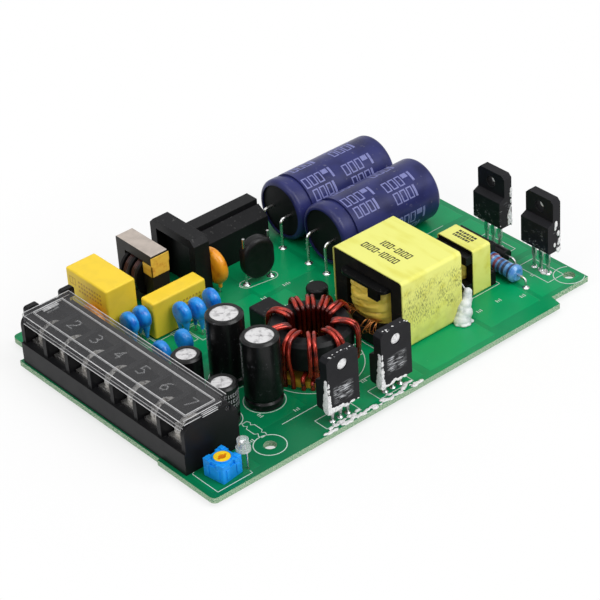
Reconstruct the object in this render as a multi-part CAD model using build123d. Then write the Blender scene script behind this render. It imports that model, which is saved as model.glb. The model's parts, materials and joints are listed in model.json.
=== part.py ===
from build123d import *
import os
from math import atan2, cos, degrees, hypot, radians, sin
from typing import NamedTuple

# Open-frame switching power supply: one circuit board with everything standing on it.
# Millimetres. X runs along the board away from the terminal block, Y across it, Z up.
# Places are measured from the board's near front corner, and heights from its top face.
# The model's own origin is under the middle of the board, at the tips of the solder joints.

# Reach within which corners are picked for rounding
pick_margin = 0.1

# Circuit board
board_length = 132.0
board_width = 92.0
board_thickness = 1.6
board_corner_radius = 1.5
near_notch_length = 14.6
near_notch_depth = 3.8
near_notch_slope = 0.8
corner_notch_length = 5.7
corner_notch_width = 10.8
front_step_start = 22.0
front_step_depth = 0.65
mounting_hole_radius = 1.7
front_hole_x = 23.5
front_hole_y = 7.05
far_hole_edge_distance = 3.1
far_hole_y = 7.85

# Leads, drilled holes and the solder joints under the board
lead_sides = 8
drill_clearance = 0.15
joint_height = 1.2
joint_foot_radius = 1.05
joint_tip_radius = 0.55

# Terminal block
terminal_count = 7
terminal_pitch = 9.5
terminal_wall = 1.5
block_x = 1.1
block_y = 11.85
block_depth = 17.0
deck_height = 6.2
wall_setback = 0.5
wall_height = 14.4
wall_nose_radius = 3.2
rear_wall_height = 11.4
rear_wall_thickness = 5.0
ear_height = 2.0
ear_length = 4.1
ear_front_x = 1.9
ear_corner_radius = 0.8

# Contact strip, clamp plate and screw of one terminal
contact_width = 7.0
contact_length = 9.4
contact_front_x = 2.2
contact_thickness = 0.8
contact_pin_width = 1.0
contact_pin_inset = 2.4
contact_slot_clearance = 0.1
clamp_size = 7.6
clamp_thickness = 1.0
clamp_lip_height = 0.8
clamp_lip_thickness = 0.6
clamp_corner_cut = 1.2
screw_radius = 1.65
screw_hole_clearance = 0.2
screw_x = 7.3
screw_depth = 4.5
screw_head_radius = 3.1
screw_head_height = 2.6
screw_head_bevel = 0.7
screw_tip_clearance = 0.5
screw_slot_length = 4.5
screw_slot_width = 0.9
screw_slot_depth = 1.1

# Clear hinged cover of the terminal block
cover_thickness = 1.2
cover_gap = 0.2
cover_front_x = 0.1
cover_rear_overhang = 1.0
cover_lip_drop = 1.5
cover_lip_thickness = 0.9
cover_corner_radius = 0.8
cover_panel_depth = 0.4
cover_panel_border = 2.7
cover_panel_end_border = 1.7
cover_panel_rear_border = 3.3
cover_tab_x = 6.2
cover_tab_length = 4.7
cover_tab_reach = 0.6
cover_tab_thickness = 0.6
cover_bar_height = 0.3
hinge_x = 14.2
hinge_z = 13.0
hinge_knuckle_radius = 1.2
hinge_lug_width = 1.5
hinge_pin_radius = 0.8
hinge_pin_clearance = 0.06
hinge_pin_play = 0.2

# Trimmer resistor
trimmer_x = 8.3
trimmer_y = 6.5
trimmer_turn = 8.0
trimmer_size = 6.8
trimmer_height = 4.8
trimmer_edge_radius = 0.4
trimmer_notch = 1.0
rotor_radius = 2.1
rotor_height = 1.3
rotor_clearance = 0.1
rotor_proud = 0.2
rotor_socket_radius = 0.95
rotor_socket_depth = 0.8
rotor_slot_width = 0.7
rotor_stub_radius = 0.8
rotor_stub_length = 1.2
rotor_stub_clearance = 0.06
trimmer_lead_pitch = 2.54
trimmer_lead_radius = 0.3

# Indicator light
indicator_x = 13.7
indicator_y = 4.9
indicator_radius = 1.5
indicator_base_height = 5.0
indicator_body_height = 4.7
indicator_flange_radius = 1.9
indicator_flange_height = 0.9
indicator_lead_pitch = 2.54
indicator_lead_radius = 0.25

# Upright round capacitors
tall_can_radius = 5.0
tall_can_height = 20.0
tall_can_x = 34.5
near_tall_can_y = 22.3
tall_can_spacing = 13.9
tall_lead_pitch = 5.0
small_can_radius = 4.0
small_can_height = 11.6
near_small_can_x = 22.3
near_small_can_y = 23.1
left_small_can_x = 23.6
left_small_can_y = 38.9
small_lead_pitch = 3.5
sleeve_thickness = 0.3
sleeve_lip = 1.0
sleeve_lip_thickness = 0.3
can_groove_height = 2.4
can_groove_depth = 0.5
can_groove_width = 1.4
can_edge_radius = 0.5
vent_groove_width = 0.3
vent_groove_depth = 0.15
radial_lead_radius = 0.3

# Box film capacitors
flat_film_x = 40.3
flat_film_y = 65.6
flat_film_length = 17.6
flat_film_width = 5.3
flat_film_height = 11.2
tall_film_y = 77.9
tall_film_length = 17.8
tall_film_width = 9.6
tall_film_height = 17.0
film_edge_radius = 0.6
film_foot_height = 0.4
film_foot_length = 1.6
film_lead_pitch = 15.0
film_lead_radius = 0.4

# Round disc capacitors and the varistor
disc_radius = 3.2
disc_thickness = 3.0
disc_rim_share = 0.4
disc_centre_height = 7.4
disc_neck_inset = 0.6
disc_lead_pitch = 4.2
disc_neck_foot_height = 1.6
disc_neck_foot_radius = 0.6
disc_neck_top_radius = 1.25
disc_lead_radius = 0.28
disc_to_film_gap = 0.5
pair_disc_x = 25.3
pair_disc_spacing = 4.1
row_disc_x = 37.9
row_disc_spacing = 4.1
row_disc_y = 59.2
row_disc_stagger = 1.3
far_disc_x = 47.4
far_disc_y = 58.7
low_disc_height = 6.0
front_low_disc_x = 24.4
middle_low_disc_x = 31.6
low_disc_y = 50.6
varistor_y = 73.85
varistor_radius = 5.0
varistor_thickness = 3.0
varistor_centre_height = 6.4
varistor_gap = 0.2
orange_disc_x = 57.9
orange_disc_y = 71.0
orange_disc_radius = 5.4
orange_disc_thickness = 3.4
orange_disc_centre_height = 7.6
large_disc_lead_pitch = 5.0
large_disc_lead_radius = 0.35

# Thermistor held between two straight leads
thermistor_x = 69.0
thermistor_y = 66.0
thermistor_turn = -9.0
thermistor_width = 9.6
thermistor_height = 12.4
thermistor_thickness = 4.0
thermistor_base_height = 1.4
thermistor_end_flat = 0.2
thermistor_edge_radius = 1.3
thermistor_lead_pitch = 7.6
thermistor_lead_radius = 0.4
thermistor_lead_rise = 0.6

# Common-mode choke: closed core with a middle bar that carries two round spools
choke_x = 41.9
choke_y = 80.4
choke_core_length = 15.4
choke_core_height = 17.0
choke_core_width = 5.4
choke_leg = 3.6
choke_yoke = 2.9
choke_middle_bar = 4.0
choke_base_height = 1.0
choke_edge_radius = 0.4
spool_flange_thickness = 0.9
spool_wall = 0.5
spool_clearance = 0.15
choke_winding_radius = 5.1
choke_tape_thickness = 0.25
choke_foot_width = 3.0
choke_lead_pitch_x = 7.0
choke_lead_radius = 0.35

# Black moulding: upright frame and long cover behind it
frame_plate_x = 51.2
frame_plate_depth = 5.0
frame_plate_y = 69.7
frame_plate_width = 19.2
frame_plate_height = 18.2
frame_rim = 2.6
frame_panel_depth = 3.4
frame_chamfer = 1.6
long_cover_length = 26.0
long_cover_y = 77.0
long_cover_near_height = 9.8
long_cover_far_height = 13.4
long_cover_width = 8.6
long_cover_slope_width = 3.8
long_cover_groove = 0.5
long_cover_slope_rise = 2.3

# Two large capacitors lying side by side
bulk_radius = 9.0
bulk_length = 35.4
bulk_x = 86.8
bulk_near_y = 58.9
bulk_side_gap = 0.4
bulk_lift = 0.1
bulk_edge_radius = 1.4
bulk_groove_distance = 4.2
bulk_groove_depth = 0.6
bulk_groove_width = 1.8
bung_radius = 7.6
bung_thickness = 2.6
bung_recess = 0.6
bulk_lead_pitch = 7.4
bulk_lead_reach = 2.8
bulk_lead_depth = 1.0
bulk_lead_bend = 1.3
bulk_lead_radius = 0.45

# Toroid choke on its round base
toroid_x = 53.7
toroid_y = 25.9
toroid_core_outer = 11.0
toroid_core_inner = 6.3
toroid_core_height = 8.4
toroid_core_base = 4.4
toroid_core_bevel = 0.9
toroid_base_radius = 11.0
toroid_base_hole = 4.0
toroid_base_height = 1.8
winding_wire_radius = 0.58
winding_clearance = 0.06
winding_bend_radius = 1.0
winding_pair_gap = 0.2
winding_layer_gap = 0.08
winding_lead_spread = 2.4
winding_lead_angle = 8.0
winding_outer_angles = [-128.4, -91.4, -52.4, -0.4, 26.6, 49.6, 71.6, 111.6, 163.6, 198.6]
winding_inner_angles = [-128.4, -91.4, -52.4, -8.0, 20.0, 47.5, 75.0, 111.6, 163.6, 198.6]

# Main transformer
transformer_x = 84.1
transformer_y = 26.3
transformer_core_depth = 20.2
transformer_core_width = 25.9
transformer_core_height = 20.1
transformer_leg = 4.4
transformer_yoke = 3.6
transformer_post_radius = 4.6
transformer_tape_thickness = 0.3
transformer_tape_depth = 20.8
transformer_core_corner = 0.8
transformer_core_gap = 0.05
transformer_wall = 0.9
transformer_winding_bulge = 2.8
transformer_winding_corner = 6.5
transformer_flange_corner = 2.0
transformer_rail_gap = 0.6
transformer_rail_lift = 0.3
transformer_rail_depth = 3.6
transformer_rail_height = 3.2
transformer_rail_width = 22.6
transformer_guide_width = 3.6
transformer_guide_drop = 3.4
transformer_guide_thickness = 1.2
transformer_guide_inset = 2.0
transformer_guide_clearance = 0.1
transformer_lead_count = 6
transformer_lead_pitch = 3.8
transformer_lead_radius = 0.4
litz_radius = 0.35
litz_strands = 4
litz_pitch = 0.8
litz_starts = [-5.4, 2.6]
litz_gap = 0.2
litz_bend = 0.45
litz_height = 0.8

# Small transformer
pulse_x = 107.0
pulse_y = 25.3
pulse_core_depth = 6.0
pulse_core_width = 12.9
pulse_core_height = 13.6
pulse_leg = 2.4
pulse_yoke = 2.4
pulse_post = 2.6
pulse_tape_depth = 6.4
pulse_core_corner = 0.5
pulse_flange_reach = 2.4
pulse_flange_gap = 0.2
pulse_flange_thickness = 0.9
pulse_head_height = 1.4
pulse_base_height = 3.2
pulse_winding_bulge = 1.7
pulse_winding_corner = 1.6
pulse_lead_count = 4
pulse_lead_pitch = 2.6
pulse_lead_radius = 0.3

# Resistor and diode lying beside the small transformer
resistor_x = 116.6
resistor_y = 20.2
resistor_length = 11.0
resistor_end_radius = 2.5
resistor_waist_radius = 2.1
resistor_cap_length = 2.6
resistor_end_bevel = 0.8
resistor_shoulder = 0.6
resistor_lift = 0.2
diode_x = 122.1
diode_y = 27.9
diode_length = 7.2
diode_radius = 1.7
diode_edge_radius = 0.3
axial_lead_reach = 2.9
axial_lead_bend = 1.1
axial_lead_radius = 0.35

# Upright power transistors
transistor_width = 10.1
transistor_thickness = 4.6
transistor_tab_thickness = 2.7
transistor_height = 15.8
transistor_tab_height = 6.6
transistor_shoulder = 0.9
transistor_corner_cut = 0.7
transistor_hole_radius = 1.6
transistor_hole_drop = 3.3
transistor_lead_pitch = 2.54
transistor_lead_width = 0.8
transistor_lead_thickness = 0.6
transistor_shoulder_width = 1.35
transistor_narrow_share = 0.45
transistor_foot_bevel = 0.5
transistor_lead_inset = 2.1
near_face_y = 1.5
far_face_edge_distance = 4.4
first_near_transistor_x = 43.3
first_near_transistor_lift = 4.5
second_near_transistor_x = 60.95
second_near_transistor_lift = 3.3
first_far_transistor_y = 14.9
second_far_transistor_y = 33.1
far_transistor_lift = 8.0

# Two small black parts left of the toroid and behind it
film_box_x = 54.6
film_box_y = 44.0
film_box_length = 7.2
film_box_width = 7.8
film_box_height = 8.4
film_box_edge_radius = 0.5
film_box_lead_pitch = 5.0
drum_x = 70.6
drum_y = 43.2
drum_radius = 3.0
drum_height = 7.8
drum_edge_radius = 0.7
drum_lead_pitch = 2.5

# White glue at the foot of the main transformer
glue_x = 93.6
glue_y = 12.0
glue_foot_radius = 2.9
glue_height = 8.6
glue_middle_radius = 2.45
glue_top_radius = 1.5
glue_clearance = 0.1
glue_lean_x = 3.2
glue_lean_y = 1.6

# Values that follow from the sizes above
board_top = joint_height + board_thickness
block_length = terminal_count * terminal_pitch + terminal_wall
rear_wall_x = block_depth - rear_wall_thickness
cover_underside = wall_height + cover_gap
cover_top = cover_underside + cover_thickness
clamp_base = deck_height + contact_thickness
screw_seat = clamp_base + clamp_thickness
cover_rear_x = hinge_x + cover_rear_overhang
cover_near_y = cover_gap
cover_left_y = block_length - terminal_wall - cover_gap / 2
tall_film_x = block_x + block_depth + varistor_thickness + 2 * varistor_gap + tall_film_width / 2
transformer_core_base = transformer_tape_thickness
choke_window_height = (choke_core_height - 2 * choke_yoke - choke_middle_bar) / 2
spool_flange_radius = choke_middle_bar / 2 + choke_window_height - spool_clearance
transformer_rail_inner = transformer_core_depth / 2 + transformer_rail_gap
pulse_flange_start = pulse_core_depth / 2 + spool_clearance + pulse_flange_gap


class Lead(NamedTuple):
    """One lead through the board: where it stands and how thick it is."""

    x: float
    y: float
    radius: float


# Helpers

def place(x, y, z=0.0):
    """Location on the board, from its near front corner and its top face."""
    return Pos(x - board_length / 2, y - board_width / 2, board_top + z)


def span(x0, x1, y0, y1, z0, z1):
    """Box between two opposite corners."""
    centre = Pos((x0 + x1) / 2, (y0 + y1) / 2, (z0 + z1) / 2)
    return centre * Box(x1 - x0, y1 - y0, z1 - z0)


def upright(profile, y, thickness):
    """Solid from a side view in X and Z, starting at y and as thick as given."""
    return extrude(Plane.XZ.offset(-y) * profile, -thickness)


def area(x0, x1, y0, y1):
    """Flat rectangle between two opposite corners of a sketch."""
    return Pos((x0 + x1) / 2, (y0 + y1) / 2) * Rectangle(x1 - x0, y1 - y0)


def polygon(*points):
    """Flat face inside a closed outline."""
    return make_face(Polyline(*points, close=True))


def post(radius, z0, z1):
    """Upright round-like lead from one height to another."""
    return Pos(0, 0, z0) * extrude(RegularPolygon(radius, lead_sides), z1 - z0)


def straight_lead(lead, top):
    """Lead from the board's underside up to the part that it carries."""
    return place(lead.x, lead.y) * post(lead.radius, -board_thickness, top)


def bent_wire(points, bend, radius):
    """Wire of even thickness along straight runs with rounded bends."""
    path = FilletPolyline(*points, radius=bend)
    section = Plane(origin=path @ 0, z_dir=path % 0) * RegularPolygon(radius, lead_sides)
    return sweep(section, path=path)


def turned(x, y, angle, dx, dy):
    """Point at an offset from a centre, in the axes of a part that is turned."""
    a = radians(angle)
    return x + dx * cos(a) - dy * sin(a), y + dx * sin(a) + dy * cos(a)


def group(shapes):
    """Several separate solids that share one node."""
    return Compound(children=list(shapes))


# Circuit board and solder

def board_outline():
    """Plan of the board, with its cut corner, front step and long near notch."""
    far_x = board_length
    notch_x = far_x - near_notch_length
    plate = polygon(
        (0, 0),
        (notch_x, 0),
        (notch_x + near_notch_slope, near_notch_depth),
        (far_x, near_notch_depth),
        (far_x, board_width),
        (corner_notch_length, board_width),
        (corner_notch_length, board_width - corner_notch_width),
        (front_step_depth, board_width - corner_notch_width),
        (front_step_depth, front_step_start),
        (0, front_step_start),
    )
    left_y = board_width - pick_margin
    corners = [v for v in plate.vertices() if hypot(v.X, v.Y) < pick_margin or v.Y > left_y]
    return fillet(corners, board_corner_radius)


def circuit_board():
    """Board with its mounting holes and one drilled hole for every lead."""
    plate = extrude(board_outline(), -board_thickness)
    holes = [Pos(x, y, -board_thickness / 2) * Cylinder(mounting_hole_radius, 2 * board_thickness)
             for x, y in mounting_hole_sites()]
    for lead in all_leads():
        drill = post(lead.radius + drill_clearance, -2 * board_thickness, board_thickness)
        holes.append(Pos(lead.x, lead.y) * drill)
    return place(0, 0) * (plate - holes)


def mounting_hole_sites():
    """Centres of the two mounting holes near the long near edge."""
    return [(front_hole_x, front_hole_y), (board_length - far_hole_edge_distance, far_hole_y)]


def solder_joints():
    """One cone of solder under the board at the end of every lead."""
    foot = RegularPolygon(joint_foot_radius, lead_sides)
    tip = Pos(0, 0, -joint_height) * RegularPolygon(joint_tip_radius, lead_sides)
    cone = Solid(loft([foot, tip]).wrapped)
    return group(place(lead.x, lead.y, -board_thickness) * cone for lead in all_leads())


# Terminal block

def cell_centres():
    """Distance along the block of the middle of each terminal."""
    return [terminal_wall / 2 + terminal_pitch * (i + 0.5) for i in range(terminal_count)]


def wall_side_view():
    """Side view of a partition above the deck, with its rounded front."""
    sheet = area(wall_setback, rear_wall_x, deck_height, wall_height)
    nose = sheet.vertices().filter_by(lambda v: v.Y > deck_height + 1).sort_by(Axis.X)[0]
    return fillet(nose, wall_nose_radius)


def end_wall_side_view():
    """Side view of an end wall: partition, rear part and the rounded hinge knuckle."""
    lower = area(0, block_depth, 0, deck_height)
    rear = area(rear_wall_x, block_depth, deck_height, rear_wall_height)
    front = wall_side_view()
    neck = area(rear_wall_x, hinge_x, deck_height, hinge_z + hinge_knuckle_radius)
    stem = area(hinge_x, hinge_x + hinge_knuckle_radius, deck_height, hinge_z)
    knuckle = Pos(hinge_x, hinge_z) * Circle(hinge_knuckle_radius)
    bore = Pos(hinge_x, hinge_z) * Circle(hinge_pin_radius + hinge_pin_clearance)
    return lower + rear + front + neck + stem + knuckle - bore


def ear_side_view(x0):
    """Side view of an upright ear on the left end wall."""
    sheet = area(x0, x0 + ear_length, wall_height - 1, wall_height + ear_height)
    top = sheet.vertices().filter_by(lambda v: v.Y > wall_height)
    return fillet(top, ear_corner_radius)


def contact_pin_offsets():
    """Distance from the block's front of the two pins of a contact."""
    front = contact_front_x + contact_pin_inset
    rear = contact_front_x + contact_length - contact_pin_inset / 2
    return [front, rear]


def terminal_housing():
    """Black moulded block: deck, rear wall, partitions, end walls with hinge bores, ears."""
    base_view = area(0, block_depth, 0, deck_height)
    rear_view = area(rear_wall_x, block_depth, 0, rear_wall_height)
    body = upright(base_view + rear_view, 0, block_length)
    for i in range(1, terminal_count):
        body += upright(wall_side_view(), i * terminal_pitch, terminal_wall)
    left_wall_y = block_length - terminal_wall
    rear_ear_x = block_depth - ear_length
    body += upright(end_wall_side_view(), 0, terminal_wall)
    body += upright(end_wall_side_view(), left_wall_y, terminal_wall)
    body += upright(ear_side_view(ear_front_x), left_wall_y, terminal_wall)
    body += upright(ear_side_view(rear_ear_x), left_wall_y, terminal_wall)
    bore_radius = hinge_pin_radius + hinge_pin_clearance
    bore = Pos(hinge_x, block_length / 2, hinge_z) * Rot(90, 0, 0) * Cylinder(bore_radius, block_length + 2)
    body -= bore
    slot = contact_pin_width / 2 + contact_slot_clearance
    blade = contact_thickness / 2 + contact_slot_clearance
    for y in cell_centres():
        hole = Cylinder(screw_radius + screw_hole_clearance, 2 * screw_depth)
        body -= Pos(screw_x, y, deck_height) * hole
        for x in contact_pin_offsets():
            body -= span(x - blade, x + blade, y - slot, y + slot, -1, deck_height + 1)
    return place(block_x, block_y) * body


def terminal_contact():
    """Contact strip lying on the deck with two flat pins into the board."""
    half = contact_width / 2
    rear_x = contact_front_x + contact_length
    strip = span(contact_front_x, rear_x, -half, half, deck_height, clamp_base)
    strip -= Pos(screw_x, 0, deck_height) * Cylinder(screw_radius + screw_hole_clearance, 4)
    for x in contact_pin_offsets():
        pin_half = contact_pin_width / 2
        blade = contact_thickness / 2
        strip += span(x - blade, x + blade, -pin_half, pin_half, -board_thickness, deck_height)
    return strip


def terminal_clamp():
    """Square clamp plate with cut corners and two raised side lips."""
    plan = chamfer(Rectangle(clamp_size, clamp_size).vertices(), clamp_corner_cut)
    plate = extrude(plan, clamp_thickness)
    lip_length = clamp_size - 2 * clamp_corner_cut
    lip_centre = clamp_size / 2 - clamp_lip_thickness / 2
    for side in (-1, 1):
        lip = Box(lip_length, clamp_lip_thickness, clamp_lip_height)
        rise = clamp_thickness + clamp_lip_height / 2
        plate += Pos(0, side * lip_centre, rise) * lip
    return plate - Cylinder(screw_radius + screw_hole_clearance, 4 * clamp_thickness)


def terminal_screw():
    """Pan-head screw with a cross slot; its head seats on the clamp plate."""
    head = Pos(0, 0, screw_head_height / 2) * Cylinder(screw_head_radius, screw_head_height)
    rim = head.edges().group_by(Axis.Z)[-1]
    head = chamfer(rim, screw_head_bevel)
    length = screw_seat - deck_height + screw_depth - screw_tip_clearance
    shank = Pos(0, 0, -length / 2) * Cylinder(screw_radius, length)
    slot = Box(screw_slot_length, screw_slot_width, 2 * screw_slot_depth)
    top = Pos(0, 0, screw_head_height)
    return head + shank - top * slot - top * Rot(0, 0, 90) * slot


def terminal_parts():
    """Contacts, clamp plates and screws of all terminals, as three groups."""
    contacts = []
    clamps = []
    screws = []
    for y in cell_centres():
        contacts.append(place(block_x, block_y + y) * terminal_contact())
        clamps.append(place(block_x + screw_x, block_y + y, clamp_base) * terminal_clamp())
        screws.append(place(block_x + screw_x, block_y + y, screw_seat) * terminal_screw())
    return group(contacts), group(clamps), group(screws)


def terminal_cover():
    """Clear cover with a framed panel, front lip, hinge lugs and pins, and an end tab."""
    plan = area(cover_front_x, cover_rear_x, cover_near_y, cover_left_y)
    inner_near_y = terminal_wall + cover_gap
    corner = area(hinge_x - hinge_knuckle_radius - 0.5, block_depth, cover_near_y - 1, inner_near_y)
    plate = Pos(0, 0, cover_underside) * extrude(plan - corner, cover_thickness)
    front_corners = plate.edges().filter_by(Axis.Z).group_by(Axis.X)[0]
    plate = fillet(front_corners, cover_corner_radius)
    panel = span(
        cover_front_x + cover_panel_border,
        cover_rear_x - cover_panel_rear_border,
        cover_near_y + cover_panel_end_border,
        cover_left_y - cover_panel_end_border,
        cover_top - cover_panel_depth,
        cover_top + 1,
    )
    lip_inset = cover_corner_radius
    lip = span(
        cover_front_x,
        cover_front_x + cover_lip_thickness,
        cover_near_y + lip_inset,
        cover_left_y - lip_inset,
        cover_underside - cover_lip_drop,
        cover_underside,
    )
    tab_z = cover_underside + cover_tab_thickness
    tab = span(
        cover_tab_x,
        cover_tab_x + cover_tab_length,
        cover_near_y - cover_tab_reach,
        cover_near_y,
        cover_underside,
        tab_z,
    )
    bar_y = cover_left_y - cover_panel_end_border - cover_tab_thickness
    bar = span(
        cover_tab_x - 1,
        cover_tab_x - 1 + cover_tab_length,
        bar_y - cover_tab_thickness,
        bar_y,
        cover_top - cover_panel_depth,
        cover_top - cover_panel_depth + cover_bar_height,
    )
    body = plate - panel + lip + tab + bar
    near_lug_y = inner_near_y
    left_lug_y = block_length - terminal_wall - cover_gap - hinge_lug_width
    for lug_y in (near_lug_y, left_lug_y):
        body += hinge_lug(lug_y)
    near_pin = hinge_pin(hinge_pin_play, near_lug_y)
    left_pin = hinge_pin(left_lug_y + hinge_lug_width, block_length - hinge_pin_play)
    return place(block_x, block_y) * (body + near_pin + left_pin)


def hinge_lug(y):
    """Lug under the cover's rear edge, rounded about the hinge axis."""
    barrel = Pos(hinge_x, hinge_z) * Circle(hinge_knuckle_radius)
    half = hinge_knuckle_radius
    web = area(hinge_x - half, hinge_x + cover_rear_overhang, hinge_z, cover_underside)
    return upright(barrel + web, y, hinge_lug_width)


def hinge_pin(y0, y1):
    """Pin of the cover along the hinge axis."""
    pin = Rot(90, 0, 0) * Cylinder(hinge_pin_radius, y1 - y0)
    return Pos(hinge_x, (y0 + y1) / 2, hinge_z) * pin


def terminal_leads():
    """Holes of the contact pins, drilled round for the flat pins."""
    radius = hypot(contact_pin_width, contact_thickness) / 2
    sites = []
    for y in cell_centres():
        for x in contact_pin_offsets():
            sites.append(Lead(block_x + x, block_y + y, radius))
    return sites


# Trimmer and indicator

def trimmer_body():
    """Blue body with a round well for the rotor and small notches in its rim."""
    size = trimmer_size
    body = Pos(0, 0, trimmer_height / 2) * Box(size, size, trimmer_height)
    body = fillet(body.edges().filter_by(Axis.Z), trimmer_edge_radius)
    well_depth = rotor_height - rotor_proud
    well = Cylinder(rotor_radius + rotor_clearance, 2 * well_depth)
    bore_depth = 2 * (well_depth + rotor_stub_length + rotor_clearance)
    bore = Cylinder(rotor_stub_radius + rotor_stub_clearance, bore_depth)
    body -= Pos(0, 0, trimmer_height) * (well + bore)
    for angle in (0, 90, 180, 270):
        notch = Box(trimmer_notch, 2 * trimmer_notch, trimmer_notch)
        edge = Pos(size / 2, 0, trimmer_height - trimmer_notch / 2)
        body -= Rot(0, 0, angle) * edge * notch
    return place(trimmer_x, trimmer_y) * Rot(0, 0, trimmer_turn) * body


def trimmer_rotor():
    """Yellow rotor with a socket, a driver slot and a stub that turns in the body."""
    base = trimmer_height - rotor_height + rotor_proud + rotor_clearance / 2
    disc = Pos(0, 0, rotor_height / 2) * Cylinder(rotor_radius, rotor_height)
    stub = Pos(0, 0, -rotor_stub_length / 2) * Cylinder(rotor_stub_radius, rotor_stub_length)
    socket = Pos(0, 0, rotor_height) * Cylinder(rotor_socket_radius, 2 * rotor_socket_depth)
    slot = Pos(0, 0, rotor_height) * Box(3 * rotor_socket_radius, rotor_slot_width, rotor_socket_depth)
    rotor = disc + stub - socket - slot
    return place(trimmer_x, trimmer_y, base) * Rot(0, 0, trimmer_turn) * rotor


def trimmer_leads():
    """Three leads under the trimmer, the middle one set forward."""
    pitch = trimmer_lead_pitch
    offsets = [(-pitch, -pitch / 2), (0, pitch / 2), (pitch, -pitch / 2)]
    sites = [turned(trimmer_x, trimmer_y, trimmer_turn, dx, dy) for dx, dy in offsets]
    return [Lead(x, y, trimmer_lead_radius) for x, y in sites]


def indicator_lens():
    """Clear round-topped light with a flange at its foot."""
    straight = indicator_body_height - indicator_radius
    body = Pos(0, 0, straight / 2) * Cylinder(indicator_radius, straight)
    dome = Pos(0, 0, straight) * Sphere(indicator_radius, arc_size1=0)
    flange = Pos(0, 0, indicator_flange_height / 2)
    flange = flange * Cylinder(indicator_flange_radius, indicator_flange_height)
    lens = body + dome + flange
    return place(indicator_x, indicator_y, indicator_base_height) * lens


def indicator_leads():
    """Two leads of the indicator."""
    half = indicator_lead_pitch / 2
    return [Lead(indicator_x, indicator_y + s * half, indicator_lead_radius) for s in (-1, 1)]


# Upright capacitors

class Can(NamedTuple):
    """One upright round capacitor: place, size and lead spacing."""

    x: float
    y: float
    radius: float
    height: float
    lead_pitch: float


def cans():
    """The four upright round capacitors."""
    far_tall_y = near_tall_can_y + tall_can_spacing
    tall = (tall_can_radius, tall_can_height, tall_lead_pitch)
    small = (small_can_radius, small_can_height, small_lead_pitch)
    return [
        Can(tall_can_x, near_tall_can_y, *tall),
        Can(tall_can_x, far_tall_y, *tall),
        Can(near_small_can_x, near_small_can_y, *small),
        Can(left_small_can_x, left_small_can_y, *small),
    ]


def can_outline(radius, height):
    """Turned solid of a can: groove near its foot, bevelled top edge."""
    depth = can_groove_depth
    low = can_groove_height - can_groove_width / 2
    high = can_groove_height + can_groove_width / 2
    side = polygon(
        (0, 0),
        (radius, 0),
        (radius, low),
        (radius - depth, low + depth),
        (radius - depth, high - depth),
        (radius, high),
        (radius, height - can_edge_radius),
        (radius - can_edge_radius, height),
        (0, height),
    )
    return revolve(Plane.XZ * side, Axis.Z)


def bare_can(can):
    """Can without its sleeve, standing at the origin."""
    return can_outline(can.radius - sleeve_thickness, can.height - sleeve_lip_thickness)


def can_body(can):
    """Aluminium can with a rolled groove near its foot and a cross groove in its top."""
    height = can.height - sleeve_lip_thickness
    reach = 2 * (can.radius - sleeve_thickness - sleeve_lip - can_edge_radius)
    vent = Box(reach, vent_groove_width, 2 * vent_groove_depth)
    top = Pos(0, 0, height)
    body = bare_can(can)
    body -= top * Rot(0, 0, 45) * vent
    body -= top * Rot(0, 0, -45) * vent
    return place(can.x, can.y) * body


def can_sleeve(can):
    """Dark sleeve shrunk onto the can, turned in over its top edge."""
    opening = Cylinder(can.radius - sleeve_thickness - sleeve_lip, 4 * can.height)
    return place(can.x, can.y) * (can_outline(can.radius, can.height) - bare_can(can) - opening)


def can_leads():
    """Two leads under each upright capacitor."""
    sites = []
    for can in cans():
        for side in (-1, 1):
            sites.append(Lead(can.x, can.y + side * can.lead_pitch / 2, radial_lead_radius))
    return sites


# Film capacitors

def film_body(length, width, height):
    """Box capacitor with rounded edges, standing on two feet across its ends."""
    body = Box(length, width, height - film_foot_height)
    rounded = body.edges().filter_by(Axis.Z) + body.faces().sort_by(Axis.Z)[-1].edges()
    body = fillet(rounded, film_edge_radius)
    body = Pos(0, 0, film_foot_height + (height - film_foot_height) / 2) * body
    foot_x = length / 2 - film_edge_radius - film_foot_length / 2
    for side in (-1, 1):
        foot = Box(film_foot_length, width - 2 * film_edge_radius, film_foot_height)
        body += Pos(side * foot_x, 0, film_foot_height / 2) * foot
    return body


def flat_film_capacitor():
    """Lower yellow box capacitor, lengthwise on the board."""
    return place(flat_film_x, flat_film_y) * film_body(flat_film_length, flat_film_width, flat_film_height)


def tall_film_capacitor():
    """Tall yellow box capacitor behind the terminal block, across the board."""
    body = film_body(tall_film_length, tall_film_width, tall_film_height)
    return place(tall_film_x, tall_film_y) * Rot(0, 0, 90) * body


def film_leads():
    """Two leads under each box capacitor."""
    half = film_lead_pitch / 2
    flat = [Lead(flat_film_x + s * half, flat_film_y, film_lead_radius) for s in (-1, 1)]
    tall = [Lead(tall_film_x, tall_film_y + s * half, film_lead_radius) for s in (-1, 1)]
    return flat + tall


# Disc capacitors, varistor and thermistor

def disc_row():
    """Place and centre height of each of the seven small blue discs."""
    pair_y = tall_film_y - tall_film_length / 2 - disc_to_film_gap - disc_radius
    return [
        (pair_disc_x, pair_y, disc_centre_height),
        (pair_disc_x + pair_disc_spacing, pair_y, disc_centre_height),
        (row_disc_x, row_disc_y, disc_centre_height),
        (row_disc_x + row_disc_spacing, row_disc_y - row_disc_stagger, disc_centre_height),
        (far_disc_x, far_disc_y, disc_centre_height),
        (front_low_disc_x, low_disc_y, low_disc_height),
        (middle_low_disc_x, low_disc_y, low_disc_height),
    ]


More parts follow.
